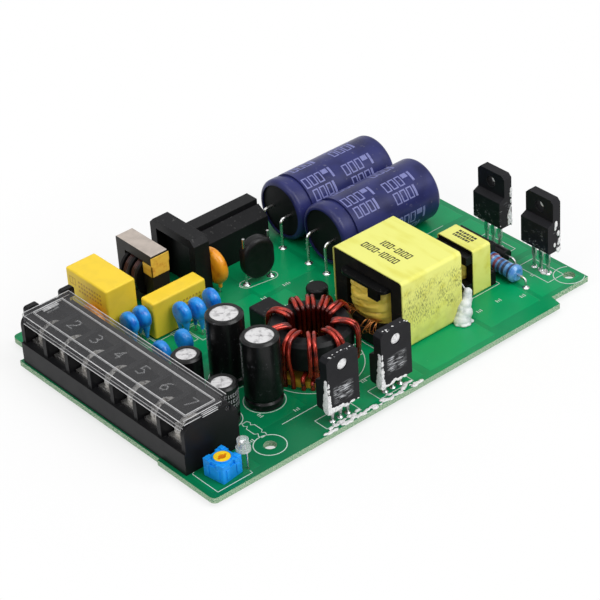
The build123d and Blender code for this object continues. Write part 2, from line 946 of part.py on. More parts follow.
def lens_body(radius, thickness):
    """Thick disc turned about the X axis, its rim rounded by two bevels on each side."""
    rim = disc_rim_share * thickness
    step = rim * (1 - cos(radians(45)))
    half = thickness / 2
    side = polygon(
        (-half, 0),
        (-half, radius - rim),
        (-half + step, radius - step),
        (-half + rim, radius),
        (half - rim, radius),
        (half - step, radius - step),
        (half, radius - rim),
        (half, 0),
    )
    return revolve(side, Axis.X)


def disc_body(radius, thickness, centre_height, lead_pitch):
    """Dipped disc standing across the board, its coating run down onto both leads."""
    body = Pos(0, 0, centre_height) * lens_body(radius, thickness)
    height = centre_height - disc_neck_foot_height
    lean = lead_pitch / 2 - disc_neck_inset
    for side in (-1, 1):
        neck = Cone(disc_neck_foot_radius, disc_neck_top_radius, height)
        body += Pos(0, side * lean, disc_neck_foot_height + height / 2) * neck
    return body


def disc_capacitors():
    """The seven small blue discs, one group."""
    body = disc_body(disc_radius, disc_thickness, disc_centre_height, disc_lead_pitch)
    low = disc_body(disc_radius, disc_thickness, low_disc_height, disc_lead_pitch)
    shapes = []
    for x, y, height in disc_row():
        shapes.append(place(x, y) * (low if height == low_disc_height else body))
    return group(shapes)


def varistor_x():
    """The varistor stands in the slot between the block and the tall capacitor."""
    return block_x + block_depth + varistor_gap + varistor_thickness / 2


def varistor():
    """Orange dipped disc between the terminal block and the tall box capacitor."""
    body = disc_body(varistor_radius, varistor_thickness, varistor_centre_height, large_disc_lead_pitch)
    return place(varistor_x(), varistor_y) * body


def orange_disc():
    """Orange dipped disc behind the black moulding's upright frame."""
    radius = orange_disc_radius
    body = disc_body(radius, orange_disc_thickness, orange_disc_centre_height, large_disc_lead_pitch)
    return place(orange_disc_x, orange_disc_y) * body


def disc_lead_sites(x, y, pitch, radius):
    """Two leads of a disc that stands across the board."""
    reach = pitch / 2 - disc_neck_inset
    return [Lead(x, y + side * reach, radius) for side in (-1, 1)]


def disc_leads():
    """Leads of the small discs."""
    sites = []
    for x, y, _ in disc_row():
        sites += disc_lead_sites(x, y, disc_lead_pitch, disc_lead_radius)
    return sites


def large_disc_leads():
    """Leads of the varistor and the orange disc."""
    pitch = large_disc_lead_pitch
    front = disc_lead_sites(varistor_x(), varistor_y, pitch, large_disc_lead_radius)
    rear = disc_lead_sites(orange_disc_x, orange_disc_y, pitch, large_disc_lead_radius)
    return front + rear


def thermistor():
    """Black rounded slab threaded on two straight leads."""
    round_end = (thermistor_width - thermistor_end_flat) / 2
    plan = RectangleRounded(thermistor_width, thermistor_height, round_end)
    slab = extrude(Plane.XZ * plan, thermistor_thickness / 2, both=True)
    slab = fillet(slab.edges().group_by(Axis.Y)[0], thermistor_edge_radius)
    slab = fillet(slab.edges().group_by(Axis.Y)[-1], thermistor_edge_radius)
    slab = Pos(0, 0, thermistor_base_height + thermistor_height / 2) * slab
    bore_height = 2 * (thermistor_base_height + thermistor_height)
    for side in (-1, 1):
        bore = extrude(RegularPolygon(thermistor_lead_radius, lead_sides), bore_height, both=True)
        slab -= Pos(side * thermistor_lead_pitch / 2, 0, 0) * bore
    return place(thermistor_x, thermistor_y) * Rot(0, 0, thermistor_turn) * slab


def thermistor_leads():
    """Two leads of the thermistor."""
    sites = []
    for side in (-1, 1):
        offset = side * thermistor_lead_pitch / 2
        x, y = turned(thermistor_x, thermistor_y, thermistor_turn, offset, 0)
        sites.append(Lead(x, y, thermistor_lead_radius))
    return sites


def thermistor_wires():
    """The two straight leads, through the slab and out of its top."""
    top = thermistor_base_height + thermistor_height + thermistor_lead_rise
    wires = []
    for lead in thermistor_leads():
        wire = Rot(0, 0, thermistor_turn) * post(lead.radius, -board_thickness, top)
        wires.append(place(lead.x, lead.y) * wire)
    return group(wires)


# Common-mode choke

def choke_core():
    """Closed ferrite core standing on edge, with a middle bar between its two legs."""
    outer = Rectangle(choke_core_length, choke_core_height)
    window = Rectangle(choke_core_length - 2 * choke_leg, choke_window_height)
    shift = (choke_middle_bar + choke_window_height) / 2
    view = outer - Pos(0, shift) * window - Pos(0, -shift) * window
    core = extrude(Plane.YZ * view, choke_core_width / 2, both=True)
    corners = core.edges().filter_by(Axis.X).sort_by(lambda e: abs(e.center().Y))[-4:]
    return place(choke_x, choke_y, choke_bar_height()) * fillet(corners, choke_edge_radius)


def choke_bar_height():
    """Height of the middle of the core's middle bar."""
    return choke_base_height + choke_core_height / 2


def spool_span():
    """Length of the bobbin between the core's legs and the tape on one of them."""
    return choke_core_length - 2 * (choke_leg + choke_tape_thickness + spool_clearance)


def spool_bore():
    """Square bore round the core's middle bar, with clearance."""
    width = choke_core_width + 2 * spool_clearance
    height = choke_middle_bar + 2 * spool_clearance
    return Box(width, 2 * choke_core_length, height)


def spool_tube_radius():
    """Radius of the tube that just covers the corners of the square bore."""
    half_width = choke_core_width / 2 + spool_clearance
    half_height = choke_middle_bar / 2 + spool_clearance
    return hypot(half_width, half_height) + spool_wall


def choke_bobbin():
    """Bobbin on the middle bar, with three round flanges that bulge past the core."""
    length = spool_span()
    tube = Rot(90, 0, 0) * Cylinder(spool_tube_radius(), length)
    flange_y = length / 2 - spool_flange_thickness / 2
    for y in (-flange_y, 0, flange_y):
        tube += Pos(0, y, 0) * Rot(90, 0, 0) * Cylinder(spool_flange_radius, spool_flange_thickness)
    return place(choke_x, choke_y, choke_bar_height()) * (tube - spool_bore())


def choke_winding(side):
    """One dark winding between two flanges of the bobbin."""
    length = (spool_span() - 3 * spool_flange_thickness) / 2
    y = side * (length + spool_flange_thickness) / 2
    coil = Cylinder(choke_winding_radius, length) - Cylinder(spool_tube_radius(), 2 * length)
    return place(choke_x, choke_y + y, choke_bar_height()) * Rot(90, 0, 0) * coil


def choke_feet():
    """Two black feet under the core's ends, which carry it and hold its leads."""
    feet = []
    length = choke_leg
    width = choke_lead_pitch_x + choke_foot_width
    for side in (-1, 1):
        y = side * (choke_core_length / 2 - length / 2)
        foot = Box(width, length, choke_base_height)
        feet.append(place(choke_x, choke_y + y, choke_base_height / 2) * foot)
    return group(feet)


def choke_tape():
    """Yellow tape round the core's near leg, as high as the upper window."""
    grow = 2 * choke_tape_thickness
    height = choke_window_height - 2 * spool_clearance
    outer = Box(choke_core_width + grow, choke_leg + grow, height)
    inner = Box(choke_core_width, choke_leg, 2 * height)
    y = choke_y - choke_core_length / 2 + choke_leg / 2
    z = choke_bar_height() + (choke_middle_bar + choke_window_height) / 2
    return place(choke_x, y, z) * (outer - inner)


def choke_leads():
    """Four leads in the choke's feet."""
    sites = []
    for side_y in (-1, 1):
        y = choke_y + side_y * (choke_core_length / 2 - choke_leg / 2)
        for side_x in (-1, 1):
            sites.append(Lead(choke_x + side_x * choke_lead_pitch_x / 2, y, choke_lead_radius))
    return sites


# Black moulding

def frame_moulding():
    """Upright frame with a sunk panel, and the long sloping cover behind it."""
    depth = frame_plate_depth
    width = frame_plate_width
    height = frame_plate_height
    view = chamfer(Rectangle(width, height).vertices().group_by(Axis.Y)[-1], frame_chamfer)
    plate = Pos(0, width / 2, height / 2) * extrude(Plane.YZ * view, depth)
    panel = span(-1, frame_panel_depth, frame_rim, width - frame_rim, -1, height - frame_rim)
    plate -= panel
    slope_x = long_cover_slope_width
    ridge = long_cover_near_height + long_cover_slope_rise
    far_width = long_cover_width
    side = polygon(
        (0, 0),
        (far_width, 0),
        (far_width, long_cover_far_height),
        (slope_x + long_cover_groove, long_cover_far_height),
        (slope_x + long_cover_groove, ridge - long_cover_groove),
        (slope_x, ridge - long_cover_groove),
        (slope_x, ridge),
        (0, long_cover_near_height),
    )
    cover = extrude(Plane.YZ * side, long_cover_length)
    cover_y = long_cover_y - frame_plate_y
    return place(frame_plate_x, frame_plate_y) * (plate + Pos(depth, cover_y, 0) * cover)


# Bulk capacitors

def bulk_sites():
    """Distance across the board of each large capacitor's axis."""
    return [bulk_near_y, bulk_near_y + 2 * bulk_radius + bulk_side_gap]


def bulk_height():
    """Height of the axis of a large capacitor that lies on the board."""
    return bulk_radius + bulk_lift


def bulk_can(y):
    """Sleeved can lying along the board, grooved near its lead end."""
    body = Rot(0, 90, 0) * Cylinder(bulk_radius, bulk_length)
    body = fillet(body.edges().filter_by(GeomType.CIRCLE), bulk_edge_radius)
    groove_x = -bulk_length / 2 + bulk_groove_distance
    ring = Cylinder(bulk_radius + 1, bulk_groove_width)
    ring -= Cylinder(bulk_radius - bulk_groove_depth, bulk_groove_width)
    body -= Pos(groove_x, 0, 0) * Rot(0, 90, 0) * ring
    pocket = Cylinder(bung_radius, 2 * bung_thickness)
    body -= Pos(-bulk_length / 2, 0, 0) * Rot(0, 90, 0) * pocket
    return place(bulk_x + bulk_length / 2, y, bulk_height()) * body


def bulk_bung(y):
    """Black rubber bung in the can's lead end, with a bore for each lead."""
    length = bung_thickness - bung_recess
    bung = Pos(length / 2, 0, 0) * Rot(0, 90, 0) * Cylinder(bung_radius, length)
    for side in (-1, 1):
        bore = Rot(0, 90, 0) * extrude(RegularPolygon(bulk_lead_radius, lead_sides), length, both=True)
        bung -= Pos(0, side * bulk_lead_pitch / 2, 0) * bore
    return place(bulk_x + bung_recess, y, bulk_height()) * bung


def bulk_leads():
    """Places where the large capacitors' leads enter the board."""
    sites = []
    for y in bulk_sites():
        for side in (-1, 1):
            lead_y = y + side * bulk_lead_pitch / 2
            sites.append(Lead(bulk_x - bulk_lead_reach, lead_y, bulk_lead_radius))
    return sites


def bulk_wires():
    """Leads that leave the bungs and bend down into the board."""
    depth = bulk_height() + board_thickness
    reach = bulk_lead_reach + bung_recess + bulk_lead_depth
    wires = []
    for lead in bulk_leads():
        points = [(reach, 0, 0), (0, 0, 0), (0, 0, -depth)]
        wire = bent_wire(points, bulk_lead_bend, bulk_lead_radius)
        wires.append(place(lead.x, lead.y, bulk_height()) * wire)
    return group(wires)


# Toroid choke

def toroid_core():
    """Black ring core with bevelled edges."""
    ring = Cylinder(toroid_core_outer, toroid_core_height)
    ring -= Cylinder(toroid_core_inner, toroid_core_height)
    ring = chamfer(ring.edges().filter_by(GeomType.CIRCLE), toroid_core_bevel)
    lift = toroid_core_base + toroid_core_height / 2
    return place(toroid_x, toroid_y, lift) * ring


def toroid_base():
    """Flat round base that the toroid stands on."""
    base = Cylinder(toroid_base_radius, toroid_base_height) - Cylinder(toroid_base_hole, toroid_base_height)
    return place(toroid_x, toroid_y, toroid_base_height / 2) * base


def polar(radius, angle, z):
    """Point at a radius and an angle about the toroid's axis."""
    a = radians(angle)
    return (radius * cos(a), radius * sin(a), z)


def wire_fan(radius):
    """Half the angle between the two wires of a pair, at a radius."""
    return degrees(atan2(winding_wire_radius + winding_pair_gap / 2, radius))


def winding_reach():
    """Distance from a core face to the middle of a wire that lies on it."""
    return winding_wire_radius + winding_clearance


def winding_ends():
    """Angle at which each end of a pair of wires goes down into the board."""
    return winding_outer_angles[0] - winding_lead_angle, winding_outer_angles[-1]


def lead_fan():
    """Half the angle between the two wires of a pair where they enter the board."""
    outer = toroid_core_outer + winding_reach()
    return degrees(atan2(winding_lead_spread / 2, outer))


def winding_strand(side):
    """One wire wound through the ring: up the hole, out over the top, down and back under."""
    inner = toroid_core_inner - winding_reach()
    outer = toroid_core_outer + winding_reach()
    layer = 2 * winding_wire_radius + winding_layer_gap
    low = toroid_core_base - winding_reach() - layer * (1 + side) / 2
    high = toroid_core_base + toroid_core_height + winding_reach()
    inner_fan = side * wire_fan(inner)
    outer_fan = side * wire_fan(outer)
    first_end, last_end = winding_ends()
    first = first_end + side * lead_fan()
    last = last_end + side * lead_fan()
    points = [polar(outer, first, -board_thickness), polar(outer, first, low)]
    for inside, outside in zip(winding_inner_angles, winding_outer_angles):
        points.append(polar(inner, inside + inner_fan, low))
        points.append(polar(inner, inside + inner_fan, high))
        points.append(polar(outer, outside + outer_fan, high))
        points.append(polar(outer, outside + outer_fan, low))
    points[-1] = polar(outer, last, low)
    points.append(polar(outer, last, -board_thickness))
    wire = bent_wire(points, winding_bend_radius, winding_wire_radius)
    return place(toroid_x, toroid_y) * wire


def toroid_winding():
    """Two wires wound side by side, one a layer below the other under the ring."""
    return group([winding_strand(-1), winding_strand(1)])


def toroid_leads():
    """Places where the two wires enter the board, at both ends of the winding."""
    outer = toroid_core_outer + winding_reach()
    sites = []
    for angle in winding_ends():
        for side in (-1, 1):
            dx, dy, _ = polar(outer, angle + side * lead_fan(), 0)
            sites.append(Lead(toroid_x + dx, toroid_y + dy, winding_wire_radius))
    return sites


# Main transformer

def transformer_half():
    """Lower half of the core: yoke, two side legs and a round centre post."""
    depth = transformer_core_depth
    width = transformer_core_width
    half = transformer_core_height / 2 - transformer_core_gap / 2
    body = Pos(0, 0, half / 2) * Box(depth, width, half)
    window = width - 2 * transformer_leg
    channel = span(-depth, depth, -window / 2, window / 2, transformer_yoke, 2 * half)
    body = fillet(body.edges().filter_by(Axis.X).group_by(Axis.Z)[0], transformer_core_corner)
    centre_post = Pos(0, 0, half / 2) * Cylinder(transformer_post_radius, half)
    return body - channel + centre_post


def transformer_core_lower():
    """Lower core half, open side up."""
    return place(transformer_x, transformer_y, transformer_core_base) * transformer_half()


def transformer_core_upper():
    """Upper core half, the lower one turned over."""
    top = transformer_core_base + transformer_core_height
    return place(transformer_x, transformer_y, top) * Rot(180, 0, 0) * transformer_half()


def transformer_window():
    """Clear width and height inside the core."""
    width = transformer_core_width - 2 * transformer_leg
    height = transformer_core_height - 2 * transformer_yoke
    return width, height


def transformer_bobbin():
    """Black bobbin: tube round the post, two flanges, pin rails below and wire guides above."""
    width, height = transformer_window()
    gap = spool_clearance
    base = transformer_core_base + transformer_yoke + gap
    top = base + height - 2 * gap
    flange_depth = transformer_core_depth + 2 * transformer_winding_bulge
    wall = transformer_wall
    flange = extrude(RectangleRounded(flange_depth, width - 2 * gap, transformer_flange_corner), wall)
    tube_outer = transformer_post_radius + gap + wall
    tube = Pos(0, 0, (base + top) / 2) * Cylinder(tube_outer, top - base)
    body = Pos(0, 0, base) * flange + Pos(0, 0, top - wall) * flange + tube
    rail_inner = transformer_rail_inner
    rail_outer = rail_inner + transformer_rail_depth
    half = transformer_rail_width / 2
    guide_half = width / 2 - gap
    guide_outer = flange_depth / 2
    for side in (-1, 1):
        x0, x1 = sorted((side * rail_inner, side * rail_outer))
        body += span(x0, x1, -half, half, transformer_rail_lift, transformer_rail_height)
        w0, w1 = sorted((side * rail_inner, side * guide_outer))
        body += span(w0, w1, -guide_half / 2, guide_half / 2, transformer_rail_height, base + wall)
        g0, g1 = sorted((side * (guide_outer - transformer_guide_thickness), side * guide_outer))
        low = top - transformer_guide_drop
        y0 = -guide_half + transformer_guide_inset
        body += span(g0, g1, y0, y0 + transformer_guide_width, low, top)
    body -= Cylinder(transformer_post_radius + gap, 4 * height)
    return place(transformer_x, transformer_y) * body


def transformer_winding_bounds():
    """Bottom and top of the winding between the bobbin's flanges."""
    _, height = transformer_window()
    gap = spool_clearance
    low = transformer_core_base + transformer_yoke + gap + transformer_wall
    high = low + height - 2 * gap - 2 * transformer_wall
    return low, high


def transformer_winding():
    """Taped winding that bulges out of both open sides of the core."""
    width, _ = transformer_window()
    low, high = transformer_winding_bounds()
    depth = transformer_core_depth + 2 * transformer_winding_bulge - 2 * transformer_wall
    coil_width = width - 4 * spool_clearance
    corner = min(transformer_winding_corner, coil_width / 2 - spool_clearance)
    coil = Pos(0, 0, low) * extrude(RectangleRounded(depth, coil_width, corner), high - low)
    tube_outer = transformer_post_radius + spool_clearance + transformer_wall
    coil -= Cylinder(tube_outer, 4 * high)
    guide_low = high + transformer_wall - transformer_guide_drop - transformer_guide_clearance
    guide_start = depth / 2 + transformer_wall - transformer_guide_thickness - transformer_guide_clearance
    for side in (-1, 1):
        g0, g1 = sorted((side * guide_start, side * depth))
        coil -= span(g0, g1, -width / 2, width / 2, guide_low, 2 * high)
    return place(transformer_x, transformer_y) * coil


def tape_band(depth, width, height, corner, thickness):
    """Tape wound round a core with rounded corners, in the Y and Z plane."""
    outer = RectangleRounded(width + 2 * thickness, height + 2 * thickness, corner + thickness)
    inner = RectangleRounded(width, height, corner)
    return extrude(Plane.YZ * (outer - inner), depth / 2, both=True)


def transformer_tape():
    """Pale yellow tape round the main core; it stands on the board."""
    depth = transformer_tape_depth
    width = transformer_core_width
    height = transformer_core_height
    band = tape_band(depth, width, height, transformer_core_corner, transformer_tape_thickness)
    return place(transformer_x, transformer_y, transformer_core_base + height / 2) * band


def transformer_leads():
    """Two rows of leads in the transformer's pin rails."""
    x = transformer_rail_inner + transformer_rail_depth / 2
    start = -(transformer_lead_count - 1) / 2
    sites = []
    for side in (-1, 1):
        for i in range(transformer_lead_count):
            y = (start + i) * transformer_lead_pitch
            sites.append(Lead(transformer_x + side * x, transformer_y + y, transformer_lead_radius))
    return sites


def winding_face(y):
    """Depth of the rounded winding's open face at a distance from its middle."""
    width, _ = transformer_window()
    flat = width / 2 - 2 * spool_clearance - transformer_winding_corner
    depth = transformer_core_depth / 2 + transformer_winding_bulge - transformer_wall
    past = max(abs(y) - flat, 0)
    sagitta = transformer_winding_corner - (transformer_winding_corner**2 - past**2) ** 0.5
    return depth - sagitta


def litz_wires():
    """Copper strands from the front pin rail, round the flange's edge, to the winding."""
    low, _ = transformer_winding_bounds()
    x_edge = -(transformer_core_depth / 2 + transformer_winding_bulge + litz_radius + litz_gap)
    rise = low + litz_height - transformer_rail_height
    strands = []
    for start_y in litz_starts:
        for i in range(litz_strands):
            y = start_y + i * litz_pitch
            points = [(x_edge, y, 0), (x_edge, y, rise), (-winding_face(y) - litz_gap, y, rise)]
            wire = bent_wire(points, litz_bend, litz_radius)
            strands.append(place(transformer_x, transformer_y, transformer_rail_height) * wire)
    return group(strands)


# Small transformer

def pulse_core():
    """Core of the small transformer: closed frame with a centre leg."""
    outer = RectangleRounded(pulse_core_width, pulse_core_height, pulse_core_corner)
    window_width = (pulse_core_width - 2 * pulse_leg - pulse_post) / 2
    window = Rectangle(window_width, pulse_core_height - 2 * pulse_yoke)
    shift = pulse_post / 2 + window_width / 2
    view = outer - Pos(shift, 0) * window - Pos(-shift, 0) * window
    core = extrude(Plane.YZ * view, pulse_core_depth / 2, both=True)
    return place(pulse_x, pulse_y, transformer_tape_thickness + pulse_core_height / 2) * core


def pulse_window():
    """Bottom and top of the small core's windows."""
    low = transformer_tape_thickness + pulse_yoke
    return low, low + pulse_core_height - 2 * pulse_yoke


def pulse_bobbin():
    """Black bobbin of the small transformer, with flanges and a foot on both sides."""
    low, high = pulse_window()
    gap = spool_clearance
    reach = pulse_core_depth / 2 + pulse_flange_reach
    half = pulse_core_width / 2 - pulse_leg - gap
    wall = pulse_flange_thickness
    bottom = span(-reach, reach, -half, half, low + gap, low + gap + wall)
    top = span(-reach, reach, -half, half, high - gap - wall, high - gap)
    tube_x = pulse_core_depth / 2 + gap + wall
    tube_y = pulse_post / 2 + gap + wall
    body = bottom + top + span(-tube_x, tube_x, -tube_y, tube_y, low + gap, high - gap)
    full = pulse_core_width / 2
    for side in (-1, 1):
        x0, x1 = sorted((side * pulse_flange_start, side * reach))
        body += span(x0, x1, -full, full, high - gap - wall, high + pulse_head_height)
        body += span(x0, x1, -full, full, 0, pulse_base_height + wall)
    hole_x = pulse_core_depth / 2 + gap
    hole_y = pulse_post / 2 + gap
    body -= span(-hole_x, hole_x, -hole_y, hole_y, 0, 2 * high)
    return place(pulse_x, pulse_y) * body


def pulse_winding():
    """Taped winding of the small transformer."""
    low, high = pulse_window()
    gap = spool_clearance
    bottom = max(low + gap + pulse_flange_thickness, pulse_base_height + pulse_flange_thickness)
    top = high - gap - pulse_flange_thickness
    depth = pulse_core_depth + 2 * pulse_winding_bulge
    width = pulse_core_width - 2 * pulse_leg - 4 * gap
    coil = Pos(0, 0, bottom) * extrude(RectangleRounded(depth, width, pulse_winding_corner), top - bottom)
    tube_x = pulse_core_depth / 2 + gap + pulse_flange_thickness
    tube_y = pulse_post / 2 + gap + pulse_flange_thickness
    coil -= span(-tube_x, tube_x, -tube_y, tube_y, 0, 2 * top)
    return place(pulse_x, pulse_y) * coil


def pulse_tape():
    """Pale yellow tape round the small core."""
    width = pulse_core_width
    height = pulse_core_height
    band = tape_band(pulse_tape_depth, width, height, pulse_core_corner, transformer_tape_thickness)
    return place(pulse_x, pulse_y, transformer_tape_thickness + height / 2) * band


def pulse_leads():
    """Two rows of leads in the small bobbin's feet."""
    x = (pulse_flange_start + pulse_core_depth / 2 + pulse_flange_reach) / 2
    start = -(pulse_lead_count - 1) / 2
    sites = []
    for side in (-1, 1):
        for i in range(pulse_lead_count):
            y = (start + i) * pulse_lead_pitch
            sites.append(Lead(pulse_x + side * x, pulse_y + y, pulse_lead_radius))
    return sites


# Resistor and diode

def axial_height(radius):
    """Height of the axis of a part that lies on the board."""
    return radius + resistor_lift


def resistor():
    """Blue resistor lying across the board, thicker over its end caps."""
    half = resistor_length / 2
    end = resistor_end_radius
    bevel = resistor_end_bevel
    waist = resistor_waist_radius
    cap = resistor_cap_length
    side = polygon(
        (0, -half),
        (end - bevel, -half),
        (end, -half + bevel),
        (end, -half + cap - resistor_shoulder),
        (waist, -half + cap),
        (waist, half - cap),
        (end, half - cap + resistor_shoulder),
        (end, half - bevel),
        (end - bevel, half),
        (0, half),
    )
    body = revolve(side, Axis.Y)
    return place(resistor_x, resistor_y, axial_height(resistor_end_radius)) * body


def diode():
    """Black diode lying across the board."""
    body = Rot(90, 0, 0) * Cylinder(diode_radius, diode_length)
    body = fillet(body.edges().filter_by(GeomType.CIRCLE), diode_edge_radius)
    return place(diode_x, diode_y, axial_height(diode_radius)) * body


def axial_leads():
    """Places where the leads of the resistor and the diode enter the board."""
    resistor_y_offset = resistor_length / 2 + axial_lead_reach
    diode_y_offset = diode_length / 2 + axial_lead_reach
    sites = [Lead(resistor_x, resistor_y + s * resistor_y_offset, axial_lead_radius) for s in (-1, 1)]
    sites += [Lead(diode_x, diode_y + s * diode_y_offset, axial_lead_radius) for s in (-1, 1)]
    return sites


def axial_wires():
    """Bent leads of the resistor and the diode."""
    bodies = [(resistor_x, resistor_y, resistor_length, resistor_end_radius)]
    bodies.append((diode_x, diode_y, diode_length, diode_radius))
    wires = []
    for x, y, length, radius in bodies:
        height = axial_height(radius)
        for side in (-1, 1):
            end = side * length / 2
            drop = side * (length / 2 + axial_lead_reach)
            points = [(0, end, 0), (0, drop, 0), (0, drop, -height - board_thickness)]
            wire = bent_wire(points, axial_lead_bend, axial_lead_radius)
            wires.append(place(x, y, height) * wire)
    return wires


# Power transistors

class Transistor(NamedTuple):
    """One upright transistor: middle of its flat back, height of its foot, and turn."""

    x: float
    y: float
    lift: float
    turn: float


def transistors():
    """Two transistors at the near edge and two at the far edge, flat backs outward."""
    far_x = board_length - far_face_edge_distance
    return [
        Transistor(first_near_transistor_x, near_face_y, first_near_transistor_lift, 180),
        Transistor(second_near_transistor_x, near_face_y, second_near_transistor_lift, 180),
        Transistor(far_x, first_far_transistor_y, far_transistor_lift, -90),
        Transistor(far_x, second_far_transistor_y, far_transistor_lift, -90),
    ]


def transistor_body():
    """Moulded body with a thinner drilled tab above; the flat back faces +Y."""
    tab = transistor_tab_thickness
    full = transistor_thickness
    height = transistor_height
    shoulder_z = height - transistor_tab_height
    side = polygon(
        (0, 0),
        (0, height),
        (-tab, height),
        (-tab, shoulder_z),
        (-full, shoulder_z - transistor_shoulder),
        (-full, transistor_foot_bevel),
        (-full + transistor_foot_bevel, 0),
    )
    half = transistor_width / 2
    body = Pos(-half, 0, 0) * extrude(Plane.YZ * side, transistor_width)
    cut = transistor_corner_cut
    corner = Rot(0, 45, 0) * Box(2 * cut, 3 * full, 2 * cut)
    for side_x in (-half, half):
        body -= Pos(side_x, 0, height) * corner
    hole = Rot(90, 0, 0) * Cylinder(transistor_hole_radius, 4 * full)
    return body - Pos(0, 0, height - transistor_hole_drop) * hole


def transistor_legs(item):
    """Three flat legs, wider near the body, from the body down through the board."""
    legs = []
    thin = transistor_lead_width / 2
    wide = transistor_shoulder_width / 2
    depth = transistor_lead_thickness
    step = transistor_narrow_share * item.lift
    y0 = -transistor_lead_inset - depth / 2
    for i in (-1, 0, 1):
        x = i * transistor_lead_pitch
        leg = span(x - thin, x + thin, y0, y0 + depth, -board_thickness - item.lift, 0)
        leg += span(x - wide, x + wide, y0, y0 + depth, -item.lift + step, 0)
        legs.append(placed_transistor(item) * leg)
    return legs


def placed_transistor(item):
    """Location of a transistor's foot on the board."""
    return place(item.x, item.y, item.lift) * Rot(0, 0, item.turn)


def transistor_leads():
    """Places where the transistors' legs enter the board."""
    radius = hypot(transistor_lead_width, transistor_lead_thickness) / 2
    sites = []
    for item in transistors():
        for i in (-1, 0, 1):
            offset = i * transistor_lead_pitch
            x, y = turned(item.x, item.y, item.turn, offset, -transistor_lead_inset)
            sites.append(Lead(x, y, radius))
    return sites


# Small black parts and glue

def film_box():
    """Small black box left of the toroid."""
    body = Box(film_box_length, film_box_width, film_box_height)
    body = fillet(body.edges().filter_by(Axis.Z) + body.edges().group_by(Axis.Z)[-1], film_box_edge_radius)
    return place(film_box_x, film_box_y, film_box_height / 2) * body


def drum():
    """Small black drum behind the toroid."""
    body = Cylinder(drum_radius, drum_height)
    body = fillet(body.edges().group_by(Axis.Z)[-1], drum_edge_radius)
    return place(drum_x, drum_y, drum_height / 2) * body


def small_part_leads():
    """Leads of the small black box and the drum."""
    sites = [Lead(film_box_x, film_box_y + s * film_box_lead_pitch / 2, radial_lead_radius) for s in (-1, 1)]
    sites += [Lead(drum_x, drum_y + s * drum_lead_pitch / 2, radial_lead_radius) for s in (-1, 1)]
    return sites


def glue_blob():
    """White glue heaped on the board against the transformer's far near corner."""
    foot = Circle(glue_foot_radius)
    middle = Pos(glue_lean_x / 2, glue_lean_y / 2, glue_height / 2) * Circle(glue_middle_radius)
    tip = Pos(glue_lean_x, glue_lean_y, glue_height) * Circle(glue_top_radius)
    heap = place(glue_x, glue_y) * loft([foot, middle, tip])
    depth = transformer_tape_depth
    width = transformer_core_width + 2 * transformer_tape_thickness
    height = transformer_core_height + 2 * transformer_tape_thickness
    wrapped = place(transformer_x, transformer_y, height / 2) * Box(depth, width, height)
    rail_x = transformer_x + transformer_rail_inner + transformer_rail_depth / 2
    rail_depth = transformer_rail_depth + 2 * glue_clearance
    rail_width = transformer_rail_width + 2 * glue_clearance
    rail = Box(rail_depth, rail_width, 2 * (transformer_rail_height + glue_clearance))
    return heap - wrapped - place(rail_x, transformer_y, 0) * rail


# Everything together

def all_leads():
    """Every lead that passes through the board."""
    return (
        terminal_leads()
        + trimmer_leads()
        + indicator_leads()
        + can_leads()
        + film_leads()
        + disc_leads()
        + large_disc_leads()
        + thermistor_leads()
        + choke_leads()
        + bulk_leads()
        + toroid_leads()
        + transformer_leads()
        + pulse_leads()
        + axial_leads()
        + transistor_leads()
        + small_part_leads()
    )


def component_leads():
    """Plain leads that end under the parts which they carry."""
    flat_footed = trimmer_leads() + can_leads() + film_leads() + small_part_leads()
    shapes = [straight_lead(lead, 0) for lead in flat_footed]
    shapes += [straight_lead(lead, indicator_base_height) for lead in indicator_leads()]
    shapes += [straight_lead(lead, disc_neck_foot_height) for lead in disc_leads() + large_disc_leads()]
    return group(shapes)


def winding_pins():
    """Pins under the choke's feet and both transformers' rails."""
    shapes = [straight_lead(lead, 0) for lead in choke_leads() + pulse_leads()]
    shapes += [straight_lead(lead, transformer_rail_lift) for lead in transformer_leads()]
    return group(shapes)


